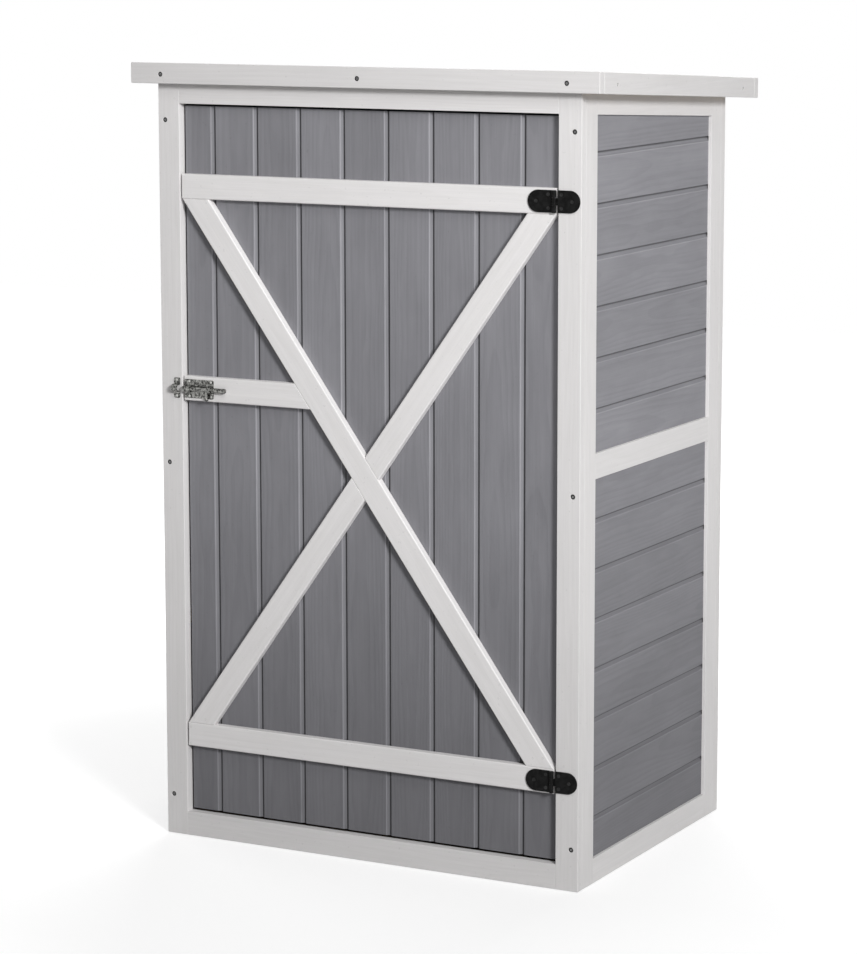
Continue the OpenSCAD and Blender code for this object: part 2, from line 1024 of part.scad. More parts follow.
// Hinges: the door leaf has the outer knuckles, the post leaf has the middle one

module at_hinges() {
    for (z = [bottom_ledge_z, top_ledge_z])
        translate([pin_x, front_y, z])
            children();
}

// Places of the three screws in a leaf that reaches along direction times X
module at_leaf_screws(direction, reach) {
    translate([direction * (reach - hinge_end_screw), -leaf_t, 0])
        children();
    for (side = [-1, 1])
        translate([direction * hinge_pair_screw, -leaf_t, side * hinge_screw_dz])
            children();
}

module at_hinge_post_screws() {
    at_hinges()
        at_leaf_screws(1, post_leaf_len)
            children();
}

module at_hinge_door_screws() {
    at_hinges()
        at_leaf_screws(-1, door_leaf_len)
            children();
}

// Flat leaf with a round end, clear of the knuckles, reaching along direction times X
module leaf_plate(direction, reach) {
    end_r = hinge_h / 2;
    root = knuckle_r + hinge_gap;
    mirror([direction < 0 ? 1 : 0, 0, 0])
        rotate([90, 0, 0])
            linear_extrude(leaf_t) {
                translate([root, -end_r])
                    square([reach - end_r - root, hinge_h]);
                intersection() {
                    translate([reach - end_r, 0])
                        circle(end_r, $fn = 64);
                    translate([root, -end_r])
                        square([reach, hinge_h]);
                }
            }
}

// One knuckle between two heights, with the tab that joins it to its leaf
module knuckle(direction, z0, z1) {
    axis_y = pin_y - front_y;
    translate([0, axis_y, z0])
        cylinder(h = z1 - z0, r = knuckle_r);
    mirror([direction < 0 ? 1 : 0, 0, 0])
        translate([0, -leaf_t, z0])
            cube([knuckle_r + hinge_gap + cut, leaf_t - hinge_gap / 2, z1 - z0]);
}

module pin_bore() {
    translate([0, pin_y - front_y, -hinge_h])
        cylinder(h = 2 * hinge_h, r = pin_r + pin_fit);
}

module hinge_post_leaf() {
    difference() {
        union() {
            leaf_plate(1, post_leaf_len);
            knuckle(1, -knuckle_h / 2, knuckle_h / 2);
        }
        pin_bore();
        at_leaf_screws(1, post_leaf_len)
            short_screw(screw_fit);
    }
}

module hinge_door_leaf() {
    difference() {
        union() {
            leaf_plate(-1, door_leaf_len);
            knuckle(-1, -hinge_h / 2, -knuckle_h / 2 - hinge_gap);
            knuckle(-1, knuckle_h / 2 + hinge_gap, hinge_h / 2);
        }
        pin_bore();
        at_leaf_screws(-1, door_leaf_len)
            short_screw(screw_fit);
    }
}

module top_hinge_post_leaf() {
    color(black_metal)
        translate([pin_x, front_y, top_ledge_z])
            hinge_post_leaf();
}

module bottom_hinge_post_leaf() {
    color(black_metal)
        translate([pin_x, front_y, bottom_ledge_z])
            hinge_post_leaf();
}

module top_hinge_door_leaf() {
    color(black_metal)
        translate([pin_x, front_y, top_ledge_z])
            hinge_door_leaf();
}

module bottom_hinge_door_leaf() {
    color(black_metal)
        translate([pin_x, front_y, bottom_ledge_z])
            hinge_door_leaf();
}

module hinge_pins() {
    color(black_metal)
        at_hinges()
            translate([0, pin_y - front_y, -hinge_h / 2])
                cylinder(h = hinge_h, r = pin_r);
}

module hinge_post_screws() {
    color(black_metal)
        at_hinge_post_screws()
            short_screw();
}

module hinge_door_screws() {
    color(black_metal)
        at_hinge_door_screws()
            short_screw();
}

// Barrel bolt: a plate with two pressed guides, the bolt in them, and the keeper on the post

// Pressed strap over the bolt from x0 to x1, with room around the bolt
module strap(x0, x1, room) {
    inner_r = rod_r + room;
    outer_r = inner_r + strap_t;
    yz_prism(x0, x1)
        difference() {
            union() {
                translate([rod_y, latch_z])
                    circle(outer_r);
                translate([rod_y, latch_z - outer_r])
                    square([front_y - rod_y, 2 * outer_r]);
            }
            translate([rod_y, latch_z])
                circle(inner_r);
            translate([rod_y, latch_z - inner_r])
                square([front_y - rod_y + cut, 2 * inner_r]);
        }
}

module at_plate_screws() {
    for (x = plate_screw_x, side = [-1, 1])
        translate([x, front_y - strap_t, latch_z + side * plate_screw_dz])
            children();
}

module at_keeper_screws() {
    for (side = [-1, 1])
        translate([keeper_x, front_y - strap_t, latch_z + side * keeper_screw_dz])
            children();
}

module bolt_plate() {
    color(zinc)
        difference() {
            union() {
                block(plate_x0, plate_x1, front_y - strap_t, front_y,
                    latch_z - plate_h / 2, latch_z + plate_h / 2);
                strap(tip_guide_x0, tip_guide_x1, rod_fit);
                strap(tail_guide_x0, tail_guide_x1, rod_fit);
            }
            at_plate_screws()
                short_screw(screw_fit);
        }
}

module bolt_plate_screws() {
    color(zinc)
        at_plate_screws()
            short_screw();
}

module bolt_keeper() {
    loop_r = rod_r + keeper_room;
    color(zinc)
        difference() {
            union() {
                strap(keeper_x0, keeper_x1, keeper_room);
                for (side = [0, 1])
                    translate([0, 0, latch_z])
                        mirror([0, 0, side])
                            block(keeper_x0, keeper_x1, front_y - strap_t, front_y,
                                loop_r, keeper_h / 2);
            }
            at_keeper_screws()
                short_screw(screw_fit);
        }
}

module keeper_screws() {
    color(zinc)
        at_keeper_screws()
            short_screw();
}

// Bolt, drawn back, with a chamfered tip and a knob that hangs down
module sliding_bolt() {
    color(zinc)
        translate([rod_tip_x, rod_y, latch_z]) {
            rotate([0, 90, 0]) {
                cylinder(h = rod_chamfer, r1 = rod_r - rod_chamfer, r2 = rod_r);
                translate([0, 0, rod_chamfer])
                    cylinder(h = rod_l - rod_chamfer, r = rod_r);
            }
            translate([knob_x - rod_tip_x, 0, -knob_reach + knob_ball_r]) {
                cylinder(h = knob_reach - knob_ball_r, r = knob_r);
                sphere(knob_ball_r);
            }
        }
}

front_post_left();
front_post_right();
front_header();
front_sill();
left_front_stile();
left_rear_stile();
left_top_rail();
left_mid_rail();
left_bottom_rail();
left_upper_boards();
left_lower_boards();
right_front_stile();
right_rear_stile();
right_top_rail();
right_mid_rail();
right_bottom_rail();
right_upper_boards();
right_lower_boards();
back_stile_left();
back_stile_right();
back_top_rail();
back_mid_rail();
back_bottom_rail();
back_upper_boards();
back_lower_boards();
floor_bearers();
floor_boards();
lower_shelf_cleats();
lower_shelf_slats();
upper_shelf_cleats();
upper_shelf_slats();
roof_battens();
roof_deck();
roof_felt();
front_fascia();
rear_fascia();
left_fascia();
right_fascia();
frame_screws();
fascia_screws();
top_hinge_post_leaf();
bottom_hinge_post_leaf();
hinge_pins();
hinge_post_screws();
bolt_keeper();
keeper_screws();
door_boards();
top_ledge();
latch_ledge();
bottom_ledge();
full_brace();
upper_brace();
lower_brace();
top_hinge_door_leaf();
bottom_hinge_door_leaf();
hinge_door_screws();
bolt_plate();
bolt_plate_screws();
sliding_bolt();
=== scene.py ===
"""Looks of a small garden storage shed: white frame, grey boards, black hinges, a zinc bolt."""

from __future__ import annotations

import json
import logging
import math
import random
from collections.abc import Callable, Iterable, Iterator, Sequence
from contextlib import contextmanager
from dataclasses import dataclass, field
from enum import Enum
from functools import cache

import bmesh
import bpy
from mathutils import Matrix, Quaternion, Vector

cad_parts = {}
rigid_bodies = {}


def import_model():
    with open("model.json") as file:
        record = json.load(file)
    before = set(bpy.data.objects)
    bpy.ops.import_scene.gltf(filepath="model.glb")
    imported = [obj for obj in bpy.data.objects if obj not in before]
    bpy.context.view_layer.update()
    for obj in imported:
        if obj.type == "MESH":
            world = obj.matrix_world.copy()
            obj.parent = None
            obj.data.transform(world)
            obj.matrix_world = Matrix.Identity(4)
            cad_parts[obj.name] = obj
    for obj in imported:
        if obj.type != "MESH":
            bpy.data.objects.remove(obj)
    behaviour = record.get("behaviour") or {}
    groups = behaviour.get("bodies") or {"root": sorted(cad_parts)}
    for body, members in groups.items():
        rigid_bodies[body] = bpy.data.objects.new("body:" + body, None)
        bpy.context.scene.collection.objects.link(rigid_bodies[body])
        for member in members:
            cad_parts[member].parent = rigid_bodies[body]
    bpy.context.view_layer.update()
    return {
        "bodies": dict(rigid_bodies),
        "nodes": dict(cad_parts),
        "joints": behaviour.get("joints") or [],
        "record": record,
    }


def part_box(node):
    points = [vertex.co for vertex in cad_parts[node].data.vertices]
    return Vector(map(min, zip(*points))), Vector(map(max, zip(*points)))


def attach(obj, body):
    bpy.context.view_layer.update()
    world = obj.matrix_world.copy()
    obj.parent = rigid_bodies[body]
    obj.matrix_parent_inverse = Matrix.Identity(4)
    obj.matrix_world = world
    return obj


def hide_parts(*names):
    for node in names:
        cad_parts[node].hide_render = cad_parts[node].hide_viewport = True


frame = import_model()

log = logging.getLogger("shed")

Piece = bpy.types.Object
Edge = bmesh.types.BMEdge
Node = bpy.types.Node
Socket = bpy.types.NodeSocket
Value = Socket | float | Sequence[float]
Inputs = dict[int | str, Value]
Point = Sequence[float]
Colour = tuple[float, float, float]
Test = Callable[..., bool]

X, Y, Z = Vector((1, 0, 0)), Vector((0, 1, 0)), Vector((0, 0, 1))
TINY = 1e-6


class Lean(Enum):
    """Which faces of a piece follow the slope of the roof."""

    LEVEL = "level"
    TOP = "top"
    WHOLE = "whole"


class Side(Enum):
    """Side of the shed that a panel stands on, by the sign of X."""

    LEFT = -1
    RIGHT = 1


# Modelling by hand


def select_only(*objects: Piece) -> None:
    """Leaves object mode with just these objects selected and the first one active.

    Args:
        objects: The objects to select, none to clear the selection.
    """
    if bpy.context.object is not None and bpy.context.object.mode != "OBJECT":
        bpy.ops.object.mode_set(mode="OBJECT")
    bpy.ops.object.select_all(action="DESELECT")
    for obj in objects:
        obj.select_set(True)
    if objects:
        bpy.context.view_layer.objects.active = objects[0]


@contextmanager
def edit_mode(obj: Piece, kind: str = "EDGE", wanted: Test | None = None) -> Iterator[None]:
    """Edit mode on one object with part of it selected.

    Args:
        obj: The object to edit.
        kind: VERT, EDGE or FACE, the kind of selection to work with.
        wanted: Test that says what to select, or everything when left out.
    """
    select_only(obj)
    bpy.ops.object.mode_set(mode="EDIT")
    bpy.ops.mesh.select_mode(type=kind)
    bpy.ops.mesh.select_all(action="DESELECT" if wanted else "SELECT")
    if wanted:
        mesh = bmesh.from_edit_mesh(obj.data)
        parts = {"VERT": mesh.verts, "EDGE": mesh.edges, "FACE": mesh.faces}[kind]
        for part in [part for part in parts if wanted(part)]:
            part.select_set(True)
        bmesh.update_edit_mesh(obj.data)
    yield
    bpy.ops.object.mode_set(mode="OBJECT")


def settle(name: str = "") -> Piece:
    """Moves the active object's place into its mesh, and names it if asked."""
    bpy.ops.object.transform_apply(location=True, rotation=True, scale=True)
    bpy.context.object.name = name or bpy.context.object.name
    return bpy.context.object


def block(name: str, corner: Point, other: Point) -> Piece:
    """Cube stretched between two opposite corners, with its place in its mesh.

    Args:
        name: Name of the new object.
        corner: One corner, in metres.
        other: The opposite corner.

    Returns:
        The new object.
    """
    low, high = (Vector([pick(pair) for pair in zip(corner, other)]) for pick in (min, max))
    select_only()
    bpy.ops.mesh.primitive_cube_add(size=1, location=(low + high) / 2, scale=high - low)
    return settle(name)


def rod(
    name: str, start: Point, end: Point, radius: float, sides: int = 32, taper: float = 1.0
) -> Piece:
    """Cylinder or cone between two points, with its place in its mesh.

    Args:
        name: Name of the new object.
        start: Middle of the first end.
        end: Middle of the other end.
        radius: Radius at the first end.
        sides: Number of sides.
        taper: Radius at the other end, as a factor of the first.

    Returns:
        The new object.
    """
    start, end = Vector(start), Vector(end)
    select_only()
    bpy.ops.mesh.primitive_cone_add(
        vertices=sides,
        radius1=radius,
        radius2=radius * taper,
        depth=(end - start).length,
        location=(start + end) / 2,
        rotation=(end - start).to_track_quat("Z", "Y").to_euler(),
    )
    return settle(name)


def bevel(obj: Piece, wanted: Test, width: float, segments: int = 2, profile: float = 0.5) -> None:
    """Bevels the edges that a test picks.

    Args:
        obj: The object to shape.
        wanted: Test that says which edges to bevel.
        width: Width of the bevel, in metres.
        segments: Number of strips in the bevel.
        profile: 0.5 is round, 0.25 flat, and less is hollow.
    """
    with edit_mode(obj, "EDGE", wanted):
        bpy.ops.mesh.bevel(
            offset=width, segments=segments, profile=profile, affect="EDGES", clamp_overlap=True
        )


def sharp(angle: float = 55) -> Test:
    """Test for edges that turn by more than an angle in degrees."""
    limit = math.radians(angle)
    return lambda edge: len(edge.link_faces) == 2 and edge.calc_face_angle() > limit


def runs(edge: Edge, direction: Vector) -> bool:
    """True if an edge runs along a direction."""
    return abs((edge.verts[1].co - edge.verts[0].co).normalized().dot(direction)) > 0.98


def lies(edge: Edge, axis: int, place: float) -> bool:
    """True if an edge lies at a place on an axis, 0 to 2 for X to Z."""
    return all(abs(v.co[axis] - place) < TINY for v in edge.verts)


def edges(direction: Vector, axis: int, place: float) -> Test:
    """Test for edges along a direction that lie at a place on an axis."""
    return lambda edge: runs(edge, direction) and lies(edge, axis, place)


def sharp_at(x: float) -> Test:
    """Test for sharp edges that lie wholly at an X."""
    return lambda edge: sharp(60)(edge) and lies(edge, 0, x)


def in_front(y: float) -> Test:
    """Test for sharp edges that lie wholly in front of a depth."""
    return lambda edge: sharp(60)(edge) and all(v.co.y < y - TINY for v in edge.verts)


def saw(obj: Piece, point: Point, waste: Point, through: bool = True) -> None:
    """Saws a piece on a plane.

    Args:
        obj: The object to cut.
        point: A point on the cut.
        waste: Direction, square to the cut, in which the waste lies.
        through: Drops the waste, or else only cuts the faces and keeps both halves.
    """
    with edit_mode(obj):
        bpy.ops.mesh.bisect(
            plane_co=point, plane_no=waste, use_fill=through, clear_outer=through
        )


def pull(obj: Piece, wanted: Test, move: Point) -> None:
    """Extrudes the faces that a test picks and moves them."""
    with edit_mode(obj, "FACE", wanted):
        bpy.ops.mesh.extrude_region_move(TRANSFORM_OT_translate={"value": move})


def shift(obj: Piece, wanted: Test, move: Point) -> None:
    """Moves the corners that a test picks."""
    with edit_mode(obj, "VERT", wanted):
        bpy.ops.transform.translate(value=move)


def modify(obj: Piece, kind: str, **settings: object) -> None:
    """Adds a modifier, sets its properties and applies it.

    Args:
        obj: The piece to change.
        kind: Type of the modifier.
        settings: Properties of the modifier.
    """
    select_only(obj)
    bpy.ops.object.modifier_add(type=kind)
    for key, value in settings.items():
        setattr(obj.modifiers[-1], key, value)
    bpy.ops.object.modifier_apply(modifier=obj.modifiers[-1].name)


def cut_out(obj: Piece, *tools: Piece) -> None:
    """Cuts the shapes of other objects out of a piece and removes those objects.

    Args:
        obj: The piece.
        tools: The shapes to cut out of it.
    """
    for tool in tools:
        modify(obj, "BOOLEAN", operation="DIFFERENCE", solver="EXACT", object=tool)
        bpy.data.objects.remove(tool)


def copy_of(obj: Piece, name: str, place: Matrix) -> Piece:
    """Copies a piece, with its own mesh, to a place that is then applied.

    Args:
        obj: The piece to copy.
        name: Name of the copy.
        place: Where the copy goes.

    Returns:
        The copy.
    """
    made = obj.copy()
    made.data = obj.data.copy()
    bpy.context.scene.collection.objects.link(made)
    made.matrix_world = place
    select_only(made)
    return settle(name)


def join(name: str, parts: Iterable[Piece]) -> Piece:
    """Joins pieces into one object.

    Args:
        name: Name of the joined object.
        parts: The pieces.

    Returns:
        The joined object.
    """
    parts = list(parts)
    select_only(*parts)
    if len(parts) > 1:
        bpy.ops.object.join()
    parts[0].name = name
    return parts[0]


def strew(template: Piece, name: str, places: Iterable[Matrix]) -> Piece:
    """Joins copies of a template at several places, and removes the template.

    Args:
        template: The piece to copy.
        name: Name of the joined piece.
        places: Where the copies go.

    Returns:
        The joined piece.
    """
    copies = [copy_of(template, f"{name}_{i}", place) for i, place in enumerate(places)]
    bpy.data.objects.remove(template)
    return join(name, copies)


def stand(place: Point, turn: float = 0.0) -> Matrix:
    """Place of a piece, turned about Z by an angle in radians."""
    return Matrix.Translation(place) @ Matrix.Rotation(turn, 4, "Z")


def smooth(obj: Piece, angle: float = 50) -> None:
    """Shades a piece smooth over its bevels while its faces stay flat.

    Args:
        obj: The piece.
        angle: Turn in degrees up to which edges are shaded smooth.
    """
    select_only(obj)
    bpy.ops.object.shade_smooth_by_angle(angle=math.radians(angle))
    modify(obj, "WEIGHTED_NORMAL", keep_sharp=True)


def dress(obj: Piece, body: str, finish: Finish, *nodes: str, angle: float = 50) -> Piece:
    """Shades a finished piece, gives it its material and its body, and hides the nodes that it
    replaces.

    Args:
        obj: The finished piece.
        body: Name of the body that it rides on.
        finish: Its finish.
        nodes: Names of the nodes that it replaces.
        angle: Turn in degrees up to which edges are shaded smooth, 0 to leave the shading.

    Returns:
        The same piece.
    """
    if angle:
        smooth(obj, angle)
    obj.data.materials.clear()
    obj.data.materials.append(finish.material())
    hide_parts(*nodes)
    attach(obj, body)
    log.info("%s: %d faces on %s", obj.name, len(obj.data.polygons), body)
    return obj


# Finishes


class Wiring:
    """Adds and links the nodes of one material, world or group."""

    def __init__(self, tree: bpy.types.NodeTree) -> None:
        """Keeps the tree to work on."""
        self.tree = tree

    def fill(self, node: Node, inputs: Inputs) -> Node:
        """Links or sets a node's inputs.

        Args:
            node: The node.
            inputs: Input name or number, and a socket to link or a value to set.

        Returns:
            The same node.
        """
        for key, value in inputs.items():
            if isinstance(value, Socket):
                self.tree.links.new(value, node.inputs[key])
            else:
                node.inputs[key].default_value = value
        return node

    def add(self, kind: str, inputs: Inputs | None = None, **settings: object) -> Node:
        """Adds a node, sets its properties and fills or links its inputs.

        Args:
            kind: Type name of the node, without ShaderNode.
            inputs: Input name or number, and a socket to link or a value to set.
            settings: Properties of the node.

        Returns:
            The new node.
        """
        node = self.tree.nodes.new(f"ShaderNode{kind}")
        for key, value in settings.items():
            setattr(node, key, value)
        return self.fill(node, inputs or {})

    def attribute(self, name: str, output: str) -> Socket:
        """Value that the mesh stores under a name."""
        return self.add("Attribute", attribute_name=name).outputs[output]

    def place(self) -> Socket:
        """Place on the object, in metres."""
        return self.add("TexCoord").outputs["Object"]

    def part(self, vector: Value, axis: int) -> Socket:
        """One of a vector's three values."""
        return self.add("SeparateXYZ", {0: vector}).outputs[axis]

    def maths(self, operation: str, a: Value, b: Value = 0.0) -> Socket:
        """Result of a math node."""
        return self.add("Math", {0: a, 1: b}, operation=operation).outputs[0]

    def times(self, a: Value, b: Value, more: Value | None = None) -> Socket:
        """Product of two values.

        Args:
            a: First value.
            b: Second value.
            more: Value that is added to the product, if any.

        Returns:
            The result.
        """
        if more is None:
            return self.maths("MULTIPLY", a, b)
        return self.add("Math", {0: a, 1: b, 2: more}, operation="MULTIPLY_ADD").outputs[0]

    def spread(
        self, value: Value, low: float, high: float, start: float = 0.0, end: float = 1.0
    ) -> Socket:
        """Maps a range smoothly to another one.

        Args:
            value: The value to map.
            low: Value that becomes start.
            high: Value that becomes end.
            start: Result at and before low.
            end: Result at and beyond high.

        Returns:
            The mapped value.
        """
        ends = {"From Min": low, "From Max": high, "To Min": start, "To Max": end}
        node = self.add("MapRange", {"Value": value, **ends}, interpolation_type="SMOOTHSTEP")
        return node.outputs["Result"]

    def noise(self, vector: Value, scale: float, detail: float = 2.0, rough: float = 0.5) -> Socket:
        """Noise from 0 to 1."""
        inputs = {"Vector": vector, "Scale": scale, "Detail": detail, "Roughness": rough}
        return self.add("TexNoise", inputs).outputs[0]

    def drawn(self, vector: Value, scale: Point, detail: float = 2.0, rough: float = 0.5) -> Socket:
        """Noise with a scale for each axis, so that it is drawn out."""
        return self.noise(self.stretch(vector, scale), 1.0, detail, rough)

    def stretch(self, vector: Value, scale: Point) -> Socket:
        """Vector multiplied by a scale for each axis."""
        return self.add("Mapping", {"Vector": vector, "Scale": scale}).outputs[0]

    def mix(self, share: Value, a: Value, b: Value, blend: str = "MIX") -> Socket:
        """Colour b laid over colour a.

        Args:
            share: Share of colour b.
            a: Lower colour.
            b: Upper colour.
            blend: How they blend, MIX or MULTIPLY.

        Returns:
            The mixed colour.
        """
        a, b = ((*colour, 1.0) if isinstance(colour, tuple) else colour for colour in (a, b))
        inputs = {0: share, 6: a, 7: b}
        return self.add("Mix", inputs, data_type="RGBA", blend_type=blend).outputs[2]

    def shade(self, colour: Value, tone: Value) -> Socket:
        """Colour multiplied by a tone."""
        level = self.add("CombineXYZ", {0: tone, 1: tone, 2: tone}).outputs[0]
        return self.mix(1.0, colour, level, "MULTIPLY")

    def bump(self, strength: float, distance: float, height: Value) -> Socket:
        """Normal of a fine relief."""
        inputs = {"Strength": strength, "Distance": distance, "Height": height}
        return self.add("Bump", inputs).outputs[0]

    def seen(self) -> Socket:
        """1 for what the camera, metal and glass see, and 0 for light that falls on things."""
        path = self.add("LightPath").outputs
        seen = self.maths("MAXIMUM", path["Is Camera Ray"], path["Is Glossy Ray"])
        return self.maths("MAXIMUM", seen, path["Is Transmission Ray"])


def new_group(
    name: str, inputs: dict[str, float | None], outputs: Iterable[str]
) -> tuple[Wiring, Node, Node]:
    """Starts a shader node group whose outputs are values.

    Args:
        name: Name of the group.
        inputs: Input name, with the default of a value, or None for a vector.
        outputs: Names of the output values.

    Returns:
        The wiring, the group's input node and its output node.
    """
    tree = bpy.data.node_groups.new(name, "ShaderNodeTree")
    for key, value in inputs.items():
        kind = "NodeSocketVector" if value is None else "NodeSocketFloat"
        socket = tree.interface.new_socket(name=key, in_out="INPUT", socket_type=kind)
        if value is not None:
            socket.default_value = value
    for key in outputs:
        tree.interface.new_socket(name=key, in_out="OUTPUT", socket_type="NodeSocketFloat")
    return Wiring(tree), tree.nodes.new("NodeGroupInput"), tree.nodes.new("NodeGroupOutput")


@cache
def timber_grain() -> bpy.types.NodeTree:
    """Group for planed softwood: growth rings that flow round knots, fine fibre and patches.

    Returns:
        The group. Its input follows the timber: metres along, across and through it.
    """
    wires, given, made = new_group(
        "timber_grain",
        {"Timber": None, "Ring Width": 0.006, "Knots": 1.0},
        ("Rings", "Fibre", "Knot", "Halo", "Patches"),
    )
    timber = given.outputs["Timber"]
    parts = wires.add("SeparateXYZ", {0: timber}).outputs
    cells = wires.stretch(timber, (3.1, 7.5, 0.0))
    knots = wires.add("TexVoronoi", {"Vector": cells, "Scale": 1.0})
    chance = wires.part(knots.outputs["Color"], 0)
    kept = wires.times(wires.maths("GREATER_THAN", chance, 0.52), given.outputs["Knots"])
    distance = knots.outputs["Distance"]
    knot = wires.times(wires.spread(distance, 0.055, 0.018), kept)
    halo = wires.times(wires.spread(distance, 0.34, 0.03), kept)
    centre = wires.part(knots.outputs["Position"], 1)
    off = wires.maths("SUBTRACT", wires.times(parts[1], 7.5), centre)
    spare = wires.maths("ADD", wires.maths("ABSOLUTE", off), 0.06)
    push = wires.times(wires.maths("DIVIDE", off, spare), halo)
    sway = wires.drawn(timber, (1.6, 6.0, 6.0), 3.0)
    ripple = wires.drawn(timber, (9.0, 30.0, 30.0))
    bent = wires.times(push, -0.010, parts[1])
    radius = wires.times(parts[2], parts[2], wires.times(bent, bent))
    flow = wires.times(sway, 0.030, wires.maths("SQRT", radius))
    flow = wires.times(ripple, 0.0035, flow)
    turns = wires.maths("FRACT", wires.maths("DIVIDE", flow, given.outputs["Ring Width"]))
    rings = wires.times(wires.spread(turns, 0.25, 0.86), wires.spread(turns, 1.0, 0.90))
    fibre = wires.drawn(timber, (14.0, 620.0, 620.0), 3.0, 0.6)
    patches = wires.drawn(timber, (5.0, 14.0, 14.0), 4.0, 0.62)
    found = {"Rings": rings, "Fibre": fibre, "Knot": knot, "Halo": halo, "Patches": patches}
    wires.fill(made, found)
    return wires.tree


@cache
def brush_marks() -> bpy.types.NodeTree:
    """Group for the marks that a brush leaves along a timber, and for specks in the coat."""
    wires, given, made = new_group("brush_marks", {"Timber": None}, ("Streaks", "Specks"))
    timber = given.outputs["Timber"]
    streaks = wires.drawn(timber, (5.0, 210.0, 210.0), 4.0, 0.62)
    specks = wires.spread(wires.noise(timber, 210.0, 1.0), 0.70, 0.80)
    wires.fill(made, {"Streaks": streaks, "Specks": specks})
    return wires.tree


@cache
def metal_grain() -> bpy.types.NodeTree:
    """Group for coated and plated metal: a fine peel, larger clouds and small scratches."""
    wires, given, made = new_group("metal_grain", {"Place": None}, ("Peel", "Clouds", "Scratches"))
    place = given.outputs["Place"]
    peel = wires.noise(place, 900.0)
    clouds = wires.noise(place, 160.0, 3.0, 0.6)
    scratches = wires.spread(wires.drawn(place, (140.0, 140.0, 2600.0)), 0.66, 0.74)
    wires.fill(made, {"Peel": peel, "Clouds": clouds, "Scratches": scratches})
    return wires.tree


@dataclass(frozen=True)
class Finish:
    """A finish with its slot in the record. Each kind builds its own material."""

    name: str
    slot: str

    def material(self) -> bpy.types.Material:
        """The finish's material, built when it is first asked for."""
        made = bpy.data.materials.get(self.name)
        if made is None:
            made = bpy.data.materials.new(self.name)
            made.use_nodes = True
            wires = Wiring(made.node_tree)
            wires.fill(made.node_tree.nodes["Principled BSDF"], self.wire(wires))
        return made

    def wire(self, wires: Wiring) -> Inputs:
        """Wires the material's nodes and returns the inputs of its Principled shader."""
        raise NotImplementedError


@dataclass(frozen=True)
class WoodFinish(Finish):
    """Softwood, bare or under paint or stain. All sizes follow each timber."""

    colour: Colour
    ring_colour: Colour
    knot_colour: Colour
    rings: float
    ring_width: float
    knots: float
    fibre: float
    patches: float
    streaks: float
    specks: float
    rough: float
    relief: float
    # Share of painted shade towards the ground.
    ground_shade: float = 0.0
    halo: float = 0.22
    knot: float = 0.75
    gloss: float = 0.35

    def wire(self, wires: Wiring) -> Inputs:
        """Wires the grain, the brush marks and the painted shade towards the ground.

        Args:
            wires: Wiring of the material's tree.

        Returns:
            Inputs of the Principled shader.
        """
        timber = wires.attribute("timber", "Vector")
        tone = wires.attribute("tone", "Fac")
        inputs = {"Timber": timber, "Ring Width": self.ring_width, "Knots": self.knots}
        grain = wires.add("Group", inputs, node_tree=timber_grain()).outputs
        brush = wires.add("Group", {"Timber": timber}, node_tree=brush_marks()).outputs
        colour = self.colour
        for key, share, over in (
            ("Rings", self.rings, self.ring_colour),
            ("Halo", self.halo, self.knot_colour),
            ("Knot", self.knot, self.knot_colour),
        ):
            colour = wires.mix(wires.times(grain[key], share), colour, over)
        shade = wires.times(grain["Fibre"], -self.fibre, 1.0 + self.fibre / 2)
        for marks, share in ((grain["Patches"], self.patches), (brush["Streaks"], self.streaks)):
            shade = wires.times(wires.maths("SUBTRACT", marks, 0.5), share, shade)
        shade = wires.times(brush["Specks"], -self.specks, shade)
        shade = wires.times(shade, tone)
        # Painted shade, darker towards the ground.
        if self.ground_shade:
            shade = wires.times(shade, self.foot(wires))
        colour = wires.shade(colour, shade)
        rough = wires.times(brush["Streaks"], 0.14, self.rough - 0.07)
        height = wires.times(grain["Rings"], 0.7, grain["Fibre"])
        height = wires.times(brush["Streaks"], 0.8, height)
        return {
            "Base Color": colour,
            "Roughness": rough,
            "Normal": wires.bump(self.relief, 0.0004, height),
            "Specular IOR Level": self.gloss,
        }

    def foot(self, wires: Wiring) -> Socket:
        """Factor of painted shade that darkens the finish towards the ground."""
        return wires.spread(wires.part(wires.place(), 2), 0.03, 0.68, 1.0 - self.ground_shade, 1.0)


@dataclass(frozen=True)
class MetalFinish(Finish):
    """Coated or plated metal with a fine peel and light scratches."""

    colour: Colour
    worn: Colour
    wear: float
    metallic: float
    rough: float
    gloss: float = 0.5
    clouds: float = 0.6
    relief: float = 0.2
    fine: float = 1.0
    takes_painted_shade: bool = False

    def wire(self, wires: Wiring) -> Inputs:
        """Wires the clouds, the scratches, the peel and the painted shade that the tone attribute
        carries.

        Args:
            wires: Wiring of the material's tree.

        Returns:
            Inputs of the Principled shader.
        """
        place = wires.place()
        if self.fine != 1.0:
            place = wires.stretch(place, (self.fine,) * 3)
        grain = wires.add("Group", {"Place": place}, node_tree=metal_grain()).outputs
        share = wires.times(wires.spread(grain["Clouds"], 0.35, 0.65), self.clouds)
        colour = wires.mix(share, self.colour, self.worn)
        colour = wires.mix(wires.times(grain["Scratches"], self.wear), colour, self.worn)
        # Painted shade from the tone attribute, at the rims and recesses of screw heads.
        if self.takes_painted_shade:
            colour = wires.shade(colour, wires.attribute("tone", "Fac"))
        return {
            "Base Color": colour,
            "Roughness": wires.times(grain["Clouds"], 0.3, self.rough - 0.15),
            "Normal": wires.bump(self.relief, 0.0001, grain["Peel"]),
            "Metallic": self.metallic,
            "Specular IOR Level": self.gloss,
        }


